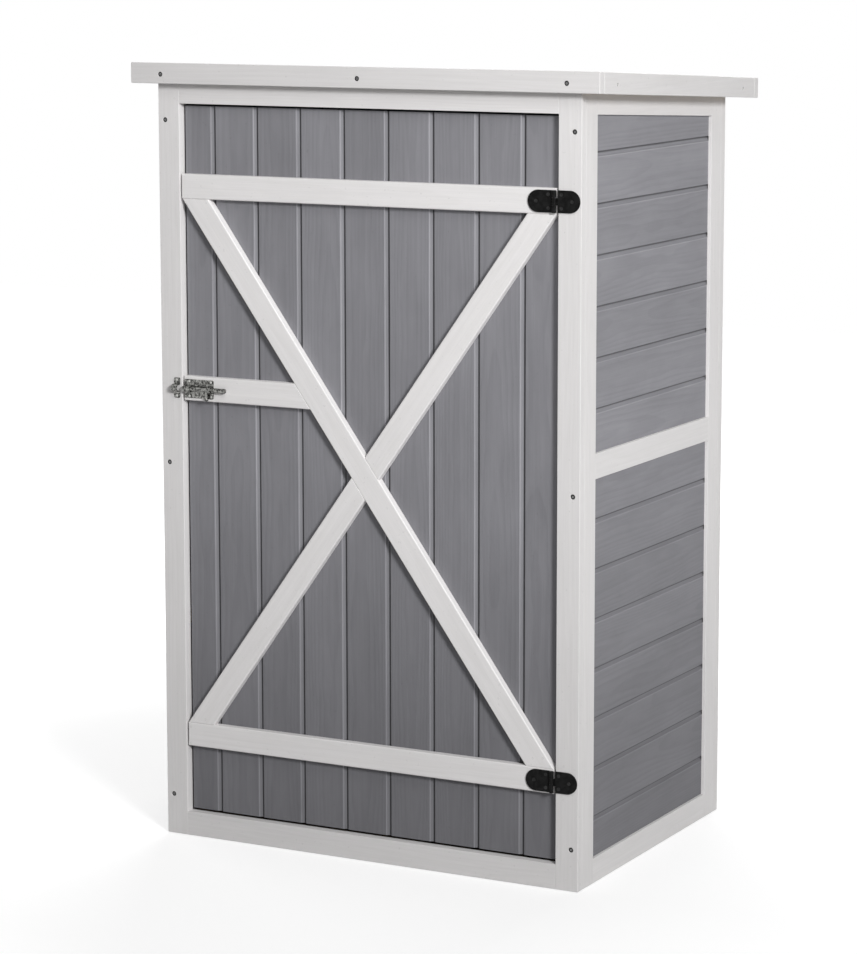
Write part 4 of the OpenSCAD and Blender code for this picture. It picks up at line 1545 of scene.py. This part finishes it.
@dataclass
class Roof:
    """Battens, deck and felt inside four fascia boards, all parallel to the slope."""

    body: str = "cabinet"
    deck_boards: int = 5
    deck_gap: float = 0.001
    batten: float = 0.011
    deck: float = 0.008
    felt: float = 0.002
    fascia: float = 0.030
    fascia_arris: float = 0.0011
    fascia_tone: float = 0.94
    mid_batten: float = 0.045
    bearing: float = 0.008
    fit: float = 0.0005
    lap: float = 0.0009
    lap_end: float = 0.035
    lap_nails: float = 0.023
    lap_step: float = 0.0004
    clout_head: float = 0.0035
    clout_seat: float = 0.0004
    clout_rise: float = 0.0005
    clout_arris: float = 0.0003
    clout_edge: float = 0.012

    def build(self) -> None:
        """Builds the roof from the battens up."""
        self.battens()
        low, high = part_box("roof_deck")
        rows = strips(low.y, high.y, self.deck_boards, self.deck_gap)
        drop = self.drop_of("roof_deck")
        boards = [
            self.sloped("deck", (low.x, high.x), row, drop, self.deck, (X, Y), 520 + i)
            for i, row in enumerate(rows)
        ]
        dress(join("pine_roof_deck", boards), self.body, PINE, "roof_deck")
        self.felt_sheet()
        self.fascias()

    def sloped(
        self,
        name: str,
        x: Sequence[float],
        y: Sequence[float],
        drop: float,
        thick: float,
        grain: tuple[Vector, Vector],
        seed: int,
        *tools: Piece,
        arris: float = 0.0003,
        tone: float = 1.0,
    ) -> Piece:
        """Timber that lies parallel to the roof, a drop below its plane.

        Args:
            name: Name of the piece.
            x: Its left and right end.
            y: Its front and rear end.
            drop: Drop of its top below the roof plane.
            thick: Its thickness.
            grain: Directions of its grain and its width.
            seed: Number that picks its grain.
            tools: Shapes that are cut out of it.
            arris: Width of its eased arrises.
            tone: How light it came out.

        Returns:
            The new timber.
        """
        top = ROOF.height(y[0], drop)
        low, high = (x[0], y[0], top - thick), (x[1], y[1], top)
        shape = {"tone": tone, "arris": arris, "lean": Lean.WHOLE}
        return Timber(name, low, high, *grain, seed, **shape).build(*tools)

    def drop_of(self, node: str) -> float:
        """Drop of a node's top below the roof plane."""
        low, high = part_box(node)
        return ROOF.height(low.y) - high.z

    def battens(self) -> None:
        """Front and rear batten, and three between them."""
        low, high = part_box("roof_battens")
        drop = self.drop_of("roof_battens")
        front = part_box("front_header")[1].y + self.bearing
        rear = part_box("back_top_rail")[0].y - self.bearing
        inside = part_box("right_front_stile")[0].x - self.bearing
        half = self.mid_batten / 2
        between = front + self.fit, rear - self.fit
        parts = [
            self.sloped("batten", x, y, drop, self.batten, grain, seed)
            for x, y, grain, seed in (
                ((low.x, high.x), (low.y, front), (X, Y), 501),
                ((low.x, high.x), (rear, high.y), (X, Y), 502),
                ((low.x, -inside), between, (Y, X), 510),
                ((-half, half), between, (Y, X), 511),
                ((inside, high.x), between, (Y, X), 512),
            )
        ]
        dress(join("pine_roof_battens", parts), self.body, PINE, "roof_battens")

    def felt_sheet(self) -> None:
        """Felt with a lap at mid depth, and clout nails along its edges."""
        low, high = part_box("roof_felt")
        drop, step = self.drop_of("roof_felt"), self.lap_step
        x, start, end = (low.x + step, high.x - step), low.y + step, high.y - step
        parts = [
            self.sloped("felt", x, (start, y), drop + down, thick, (X, Y), seed, arris=arris)
            for y, down, thick, seed, arris in (
                (end, step, self.felt - step, 530, 0.0004),
                (self.lap_end, 0.0, self.lap, 531, 0.0003),
            )
        ]
        dress(join("felt_sheet", parts), self.body, FELT, "roof_felt")
        self.clouts(low, high, drop)

    def clouts(self, low: Vector, high: Vector, drop: float) -> None:
        """Flat heads of the nails that hold the felt.

        Args:
            low: Lowest corner of the felt.
            high: Highest corner of the felt.
            drop: Drop of the felt's top below the roof plane.
        """
        edge = self.clout_edge
        across, down = (
            spaced(low[axis] + edge, high[axis] - edge, count) for axis, count in ((0, 9), (1, 7))
        )
        spots = [(x, y) for y in (down[0], down[-1]) for x in across]
        spots += [(x, y) for x in (across[0], across[-1]) for y in down[1:-1]]
        spots += [(x, self.lap_nails) for x in across[1:-1]]
        ends = (0, 0, -self.clout_seat), (0, 0, self.clout_rise)
        head = rod("clout", *ends, self.clout_head, 20)
        bevel(head, lambda edge: all(v.co.z > 0 for v in edge.verts), self.clout_arris)
        smooth(head)
        turn = ROOF.normal().to_track_quat("Z", "Y").to_matrix().to_4x4()
        places = [stand((x, y, ROOF.height(y, drop))) @ turn for x, y in spots]
        dress(strew(head, "felt_nails", places), self.body, ZINC, angle=0)

    def fascias(self) -> None:
        """Four fascia boards: the front and rear ones run through, the side ones fit between."""
        for seed, (node, along) in enumerate(
            (("front_fascia", X), ("rear_fascia", X), ("left_fascia", Y), ("right_fascia", Y)), 540
        ):
            low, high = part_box(node)
            made = self.sloped(
                f"timber_{node}",
                (low.x, high.x),
                (low.y, high.y),
                0.0,
                self.fascia,
                (along, Z),
                seed,
                *SCREWS.holes(low, high),
                arris=self.fascia_arris,
                tone=self.fascia_tone,
            )
            dress(made, self.body, WHITE, node)


# Door


@dataclass
class Door:
    """Ledged and braced door: boards, three ledges, one full brace and two half braces."""

    body: str = "door"
    boards: Shiplap = field(default_factory=Shiplap)
    board_count: int = 9
    board_shift: float = -0.0012
    rail: float = 0.036
    round_front: float = 0.0019
    arris: float = 0.0005
    white: float = 1.09
    tones: Sequence[float] = (0.92, 0.96, 0.96, 1.01, 0.94, 0.96, 0.95, 0.96, 0.96)

    def build(self) -> None:
        """Builds the boards, then the ledges and the braces on them."""
        self.lay_boards()
        for seed, node in enumerate(("top_ledge", "bottom_ledge", "latch_ledge"), 610):
            self.ledge(node, seed)
        foot, side = self.latch_edge()
        self.brace("full_brace", -1, 620)
        self.brace("lower_brace", 1, 621, (foot, side))
        self.brace("upper_brace", 1, 622, (foot + X * self.foot(), -side))

    def lay_boards(self) -> None:
        """Upright boards across the door, with a cove at the right edge of each."""
        low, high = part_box("door_boards")
        place = stand((0, low.y, (low.z + high.z) / 2)) @ Matrix.Rotation(math.pi / 2, 4, "Y")
        made = self.boards.rows(
            "boards_door",
            self.board_count,
            high.z - low.z,
            -self.board_count / 2 * self.boards.pitch + self.board_shift,
            place,
            [((low.x, 0, 0), -X), ((high.x, 0, 0), X)],
            self.tones,
            601,
        )
        dress(made, self.body, GREY, "door_boards", angle=40)

    def foot(self) -> float:
        """Width of a brace where it is cut level."""
        low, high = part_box("full_brace")
        rise, span, wide = high.z - low.z, high.x - low.x, self.rail
        root = math.sqrt((wide * span) ** 2 + (rise**2 - wide**2) * (span**2 + rise**2))
        return (wide * root - wide**2 * span) / (rise**2 - wide**2)

    def latch_edge(self) -> tuple[Vector, Vector]:
        """Foot of the full brace's right edge, and the direction square to it, to the right."""
        low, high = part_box("full_brace")
        foot, head = Vector((high.x - self.foot(), low.y, low.z)), Vector((low.x, low.y, high.z))
        return foot, Y.cross(head - foot).normalized()

    def ledge(self, node: str, seed: int) -> None:
        """Level ledge. The latch ledge is scribed to the full brace.

        Args:
            node: The node that it stands for.
            seed: Number that picks its grain.
        """
        low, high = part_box(node)
        high.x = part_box("bottom_ledge")[1].x
        shape = {"tone": self.white, "round_front": self.round_front, "arris": 0.0}
        made = Timber(f"timber_{node}", low, high, X, Z, seed, **shape).build()
        if node == "latch_ledge":
            saw(made, *self.latch_edge())
        bevel(made, sharp(), self.arris)
        dress(made, self.body, WHITE, node)

    def brace(self, node: str, rises: int, seed: int, *cuts: tuple[Vector, Vector]) -> None:
        """Slanting brace, cut level on the ledges.

        Args:
            node: The node that it stands for.
            rises: 1 if it rises to the right, -1 if it falls.
            seed: Number that picks its grain.
            cuts: Further cuts as a point and the direction of the waste.
        """
        low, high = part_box("full_brace")
        slope = math.atan2(high.z - low.z, high.x - low.x - self.foot())
        reach, half, depth = (high - low).length, self.rail / 2, (high.y - low.y) / 2
        obj = block(f"timber_{node}", (-reach, -depth, -half), (reach, depth, half))
        bevel(obj, edges(X, 1, -depth), self.round_front, 4)
        obj.matrix_world = stand((low + high) / 2) @ Matrix.Rotation(-rises * slope, 4, "Y")
        select_only(obj)
        settle()
        for cut in ((low, -Z), (high, Z), *cuts):
            saw(obj, *cut)
        bevel(obj, sharp(), self.arris)
        along = Vector((math.cos(slope), 0, rises * math.sin(slope)))
        mark_timber(obj, along, Y.cross(along), seed, self.white)
        dress(obj, self.body, WHITE, node)


# Ironmongery


@dataclass
class Hinge:
    """Black butt hinge with round ended leaves and three knuckles."""

    level: str = "top"
    thick: float = 0.002
    knuckle: float = 0.0032
    gap: float = 0.0004
    pin_x: float = 0.300
    end_screw: float = 0.0124
    pair_screw: float = 0.010
    pair_rise: float = 0.0095
    notch: float = 0.0016
    over: float = 0.001
    proud: float = 0.0002
    arris: float = 0.0004
    knuckle_arris: float = 0.0003
    tab: tuple[float, float] = (0.0012, 0.0008)
    tab_back: float = 0.0003
    screw: Screw = field(default_factory=lambda: Screw(0.0026, 0.0012, 0.0006, 0.0013, 0.0008))

    def build(self) -> None:
        """Builds both leaves and their screws."""
        for part, body, side in (("door", "door", -1), ("post", "cabinet", 1)):
            node = f"{self.level}_hinge_{part}_leaf"
            low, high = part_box(node)
            tip, middle = low.x if side < 0 else high.x, (low.z + high.z) / 2
            pair = self.pin_x + side * self.pair_screw
            spots = [(tip - side * self.end_screw, middle)]
            spots += [(pair, middle - self.pair_rise), (pair, middle + self.pair_rise)]
            face = high.y - self.thick + self.proud
            places = [stand((x, face, z)) for x, z in spots]
            sinks = [
                self.screw.sink(
                    place, out=0.0006, deep=self.thick - 0.0004, room=0.0004, edge=0.0003, taper=0.6
                )
                for place in places
            ]
            leaf = self.leaf(f"hinge_{self.level}_{part}", side, tip, low.y, high.y, sinks)
            dress(leaf, body, BLACK, node, angle=35)
            screw_row(
                f"hinge_screws_{self.level}_{part}", body, BLACK_SCREW, self.screw, places
            )

    def leaf(
        self, name: str, side: int, tip: float, front: float, back: float, sinks: Iterable[Piece]
    ) -> Piece:
        """Leaf with a round end and rolled knuckles, cleared round those of the other leaf.

        Args:
            name: Name of the piece.
            side: -1 for the leaf that reaches left, 1 for right.
            tip: X of its round end.
            front: Y of the knuckles' front.
            back: Y of the wood that it lies on.
            sinks: Cones that countersink it.

        Returns:
            The new leaf.
        """
        bottom, top = (corner.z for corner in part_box(f"{self.level}_hinge_door_leaf"))
        root, face = self.pin_x + side * (self.knuckle + self.gap), back - self.thick
        plate = block(name, (root, face, bottom), (tip, back, top))
        bevel(plate, edges(Y, 0, tip), (top - bottom) / 2 * 0.999, 14)
        bevel(plate, in_front(back), self.arris)
        third, gap = (top - bottom - 2 * self.gap) / 3, self.gap
        first, second = bottom + third, top - third
        if side < 0:
            knuckles, clear = [(bottom, first), (second, top)], [(first, second)]
        else:
            knuckles = [(first + gap, second - gap)]
            clear = [(bottom - self.over, first + gap), (second - gap, top + self.over)]
        near, far = root - side * self.over, root + side * self.notch
        notches = [
            block("notch", (near, face - self.over, z0), (far, back + self.over, z1))
            for z0, z1 in clear
        ]
        cut_out(plate, *notches, *sinks)
        parts = [plate]
        for z0, z1 in knuckles:
            axis = self.pin_x, front + self.knuckle
            barrel = rod(name, (*axis, z0), (*axis, z1), self.knuckle)
            bevel(barrel, sharp(60), self.knuckle_arris)
            near, far = self.pin_x + side * self.tab[0], root + side * self.tab[1]
            low, high = z0 + self.proud, z1 - self.proud
            tab = block(name, (near, face, low), (far, back - self.tab_back, high))
            parts += [barrel, tab]
        return join(name, parts)


@dataclass
class HingePins:
    """Pins of both hinges, with domed heads that stay within the knuckles' length."""

    radius: float = 0.00145
    dome: float = 0.0006
    hinge: Hinge = field(default_factory=Hinge)

    def build(self) -> None:
        """Builds the pins and hides the nodes of the hinges' screws."""
        pins = []
        for level in ("top", "bottom"):
            low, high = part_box(f"{level}_hinge_door_leaf")
            axis = self.hinge.pin_x, low.y + self.hinge.knuckle
            pin = rod(f"pin_{level}", (*axis, low.z), (*axis, high.z), self.radius, 24)
            bevel(pin, sharp(60), self.dome, 3)
            pins.append(pin)
        dress(join("hinge_pins_domed", pins), "cabinet", BLACK, "hinge_pins", angle=60)
        for part, node in (("post", "hinge_post_screws"), ("door", "hinge_door_screws")):
            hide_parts(node)


@dataclass
class BarrelBolt:
    """Zinc barrel bolt: plate with two pressed guides, the bolt with its knob, and the keeper."""

    front: float = -0.262
    height: float = 0.6755
    strap: float = 0.0012
    radius: float = 0.0035
    fit: float = 0.0003
    room: float = 0.0011
    arris: float = 0.0003
    past: float = 0.01
    corner: float = 0.0016
    ear_round: float = 0.002
    tip: float = 0.0012
    butt: float = 0.0004
    plate_edge: float = 0.0005
    keeper_edge: float = 0.0009
    screw: Screw = field(
        default_factory=lambda: Screw(0.0023, 0.0011, 0.0005, 0.0011, 0.0007, 0.14)
    )
    knob: float = 0.0022
    knob_gap: float = 0.0008
    ball: float = 0.0028
    guides: Sequence[tuple[float, float]] = ((-0.2990, -0.2870), (-0.2575, -0.2525))
    plate_screws: Sequence[float] = (-0.2920, -0.2550)

    @property
    def axis(self) -> float:
        """Y of the bolt's axis."""
        return self.front - self.strap - self.fit - self.radius

    def build(self) -> None:
        """Builds the plate, the bolt and the keeper with their screws."""
        self.plate()
        self.bolt()
        self.keeper()

    def on_axis(self, x: float) -> Vector:
        """Point on the bolt's axis."""
        return Vector((x, self.axis, self.height))

    def arch(self, name: str, x0: float, x1: float, room: float) -> Piece:
        """Pressed strap over the bolt: half a tube with two straight legs.

        Args:
            name: Name of the piece.
            x0: Left end.
            x1: Right end.
            room: Room around the bolt.

        Returns:
            The new strap.
        """
        inner, front, past = self.radius + room, self.front, self.past
        shell = rod(name, self.on_axis(x0), self.on_axis(x1), inner + self.strap, 40)
        saw(shell, (0, self.axis, 0), Y)
        pull(shell, lambda face: face.normal.y > 0.9, (0, front - self.axis, 0))
        bevel(
            shell,
            lambda edge: (sharp_at(x0)(edge) or sharp_at(x1)(edge)) and not lies(edge, 1, front),
            self.arris,
        )
        hole = rod("hole", self.on_axis(x0 - past), self.on_axis(x1 + past), inner, 40)
        low, high = self.height - inner, self.height + inner
        slot = block("slot", (x0 - past, self.axis, low), (x1 + past, front + past, high))
        cut_out(shell, hole, slot)
        return shell

    def plate(self) -> None:
        """Back plate with soft corners and its two guides."""
        low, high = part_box("bolt_plate")
        low.y, high.y = self.front - self.strap, self.front
        plate = block("plate", low, high)
        bevel(plate, lambda edge: runs(edge, Y), self.corner, 4)
        bevel(plate, in_front(self.front), self.arris)
        rise = (high.z - low.z) / 2 - self.screw.radius - self.plate_edge
        places = self.heads([(x, side * rise) for x in self.plate_screws for side in (-1, 1)])
        cut_out(plate, *self.sinks(places))
        guides = [self.arch("guide", x0, x1, self.fit) for x0, x1 in self.guides]
        made = join("bolt_back_plate", [plate, *guides])
        dress(made, "door", ZINC, "bolt_plate", angle=35)
        made = screw_row("bolt_plate_heads", "door", BRIGHT_ZINC, self.screw, places)
        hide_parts("bolt_plate_screws")

    def heads(self, spots: Iterable[tuple[float, float]]) -> list[Matrix]:
        """Places of the screw heads, flush with the plate, from X and rise above the bolt."""
        return [stand((x, self.front - self.strap, self.height + rise)) for x, rise in spots]

    def sinks(self, places: Iterable[Matrix]) -> list[Piece]:
        """Countersinks a little wider than the heads."""
        cut = {"out": 0.0003, "deep": self.strap - 0.0001, "room": 0.0003, "edge": 0.0002}
        return [self.screw.sink(place, **cut, taper=0.7) for place in places]

    def bolt(self) -> None:
        """Round bolt with a chamfered tip and a knob on a waisted stem."""
        low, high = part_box("sliding_bolt")
        bar = rod("bolt", self.on_axis(low.x), self.on_axis(high.x), self.radius, 40)
        bevel(bar, sharp_at(low.x), self.tip, 3)
        bevel(bar, sharp_at(high.x), self.butt)
        middle = self.on_axis(self.guides[1][0] - self.knob - self.knob_gap)
        foot = Vector((middle.x, middle.y, low.z + self.ball))
        stem = rod("stem", middle, foot, self.knob, 28, 0.8)
        select_only()
        bpy.ops.mesh.primitive_uv_sphere_add(
            segments=28, ring_count=16, radius=self.ball, location=foot
        )
        made = join("bolt_bar", [bar, stem, settle()])
        dress(made, "bolt", ZINC, "sliding_bolt", angle=40)

    def keeper(self) -> None:
        """Keeper on the post: an arch for the bolt between two ears."""
        low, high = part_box("bolt_keeper")
        inner = self.radius + self.room
        rise = (high.z - low.z) / 2 - self.screw.radius - self.keeper_edge
        places = self.heads([((low.x + high.x) / 2, side * rise) for side in (-1, 1)])
        ears = []
        for end, side, sink in zip((low.z, high.z), (-1, 1), self.sinks(places)):
            near = low.x, self.front - self.strap, self.height + side * inner
            ear = block("ear", near, (high.x, self.front, end))
            bevel(ear, edges(Y, 2, end), self.ear_round, 4)
            bevel(ear, in_front(self.front), self.arris)
            cut_out(ear, sink)
            ears.append(ear)
        made = join("bolt_keeper_made", [*ears, self.arch("hood", low.x, high.x, self.room)])
        dress(made, "cabinet", ZINC, "bolt_keeper", angle=35)
        made = screw_row("keeper_heads", "cabinet", BRIGHT_ZINC, self.screw, places)
        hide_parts("keeper_screws")


# Studio


def set_up(name: str, data: bpy.types.ID, place: Point, turn: Quaternion) -> Piece:
    """Puts a lamp or a camera in the scene.

    Args:
        name: Name of its object.
        data: The lamp or the camera.
        place: Where it goes.
        turn: How it is turned.

    Returns:
        Its object.
    """
    obj = bpy.data.objects.new(name, data)
    bpy.context.scene.collection.objects.link(obj)
    obj.location = place
    obj.rotation_mode = "QUATERNION"
    obj.rotation_quaternion = turn
    return obj


@dataclass
class Lamp:
    """Square softbox that looks at a point. Sizes in metres, power in watts."""

    name: str
    place: Point
    target: Point
    size: float
    power: float

    def hang(self) -> None:
        """Puts the lamp in the scene."""
        data = bpy.data.lights.new(self.name, "AREA")
        data.shape = "SQUARE"
        data.size = self.size
        data.energy = self.power
        look = Vector(self.target) - Vector(self.place)
        set_up(self.name, data, self.place, look.to_track_quat("-Z", "Y"))


@dataclass
class Studio:
    """White studio with soft lamps and a camera at the photo's angle."""

    azimuth: float = 27.961
    elevation: float = 8.646
    roll: float = -0.077
    place: Point = (2.2412, -4.2888, 1.3357)
    lens: float = 123.38
    shift_y: float = -0.05
    ambient: float = 0.06
    floor_reach: float = 6.0
    floor_drop: float = 0.0006
    glow_near: float = 0.58
    glow_start: float = 0.75
    glow_end: float = 1.7
    lamps: Sequence[Lamp] = (
        Lamp("key", (4.7, -4.0, 2.75), (0.1, -0.2, 0.6), 1.1, 328.0),
        Lamp("front", (0.8, -1.5, 2.5), (0.0, -0.2, 0.7), 1.2, 14.0),
        Lamp("left", (-2.5, 0.4, 1.8), (-0.3, 0.0, 0.6), 1.5, 22.0),
        Lamp("rear", (-0.6, 2.6, 2.6), (0.0, 0.2, 0.6), 2.2, 80.0),
    )

    def build(self) -> None:
        """Sets up the view, the world, the floor, the lamps and the camera."""
        bpy.context.scene.view_settings.view_transform = "Standard"
        self.world()
        self.floor()
        for lamp in self.lamps:
            lamp.hang()
        self.camera()

    def camera(self) -> None:
        """Camera where the photo was taken from."""
        data = bpy.data.cameras.new("camera")
        data.lens = self.lens
        data.sensor_width = 36.0
        data.shift_y = self.shift_y
        data.clip_end = 100.0
        a, e = math.radians(self.azimuth), math.radians(self.elevation)
        back = Vector((math.sin(a) * math.cos(e), -math.cos(a) * math.cos(e), math.sin(e)))
        turn = (-back).to_track_quat("-Z", "Y") @ Quaternion(Z, math.radians(self.roll))
        bpy.context.scene.camera = set_up("camera", data, self.place, turn)

    def world(self) -> None:
        """Even light from all round, which the camera, metal and glass see as white."""
        world = bpy.data.worlds.new("studio")
        bpy.context.scene.world = world
        world.use_nodes = True
        world.node_tree.nodes.clear()
        wires = Wiring(world.node_tree)
        strength = wires.times(wires.seen(), 1.0 - self.ambient, self.ambient)
        light = wires.add("Background", {"Color": (1.0,) * 4, "Strength": strength})
        wires.add("OutputWorld", {0: light.outputs[0]})

    def floor(self) -> None:
        """Plain white floor that keeps a soft contact shadow."""
        select_only()
        bpy.ops.mesh.primitive_grid_add(
            x_subdivisions=4,
            y_subdivisions=4,
            size=2 * self.floor_reach,
            location=(0, 0, -self.floor_drop),
        )
        floor = bpy.context.object
        floor.name = "studio_floor"
        material = bpy.data.materials.new("studio_floor")
        material.use_nodes = True
        material.node_tree.nodes.clear()
        wires = Wiring(material.node_tree)
        seen = wires.seen()
        away = wires.add("VectorMath", {0: wires.place()}, operation="LENGTH").outputs["Value"]
        glow = wires.spread(away, self.glow_start, self.glow_end, self.glow_near, 1.0)
        matt = wires.add("BsdfDiffuse", {"Color": (0.50, 0.50, 0.50, 1.0)})
        strength = wires.times(seen, glow)
        light = wires.add("Emission", {"Color": (1.0,) * 4, "Strength": strength})
        both = wires.add("AddShader", {0: matt.outputs[0], 1: light.outputs[0]})
        wires.add("OutputMaterial", {0: both.outputs[0]})
        floor.data.materials.append(material)


def main() -> None:
    """Builds the shed from the frame out, then the studio."""
    logging.basicConfig(level=logging.INFO, format="%(name)s: %(message)s")
    FrontFrame().build()
    SidePanel(side=Side.LEFT).build()
    SidePanel(side=Side.RIGHT).build()
    BackPanel().build()
    Interior().build()
    Roof().build()
    Door().build()
    SCREWS.build()
    Brads().build()
    for level in ("top", "bottom"):
        Hinge(level=level).build()
    HingePins().build()
    BarrelBolt().build()
    Studio().build()


if __name__ == "__main__":
    main()
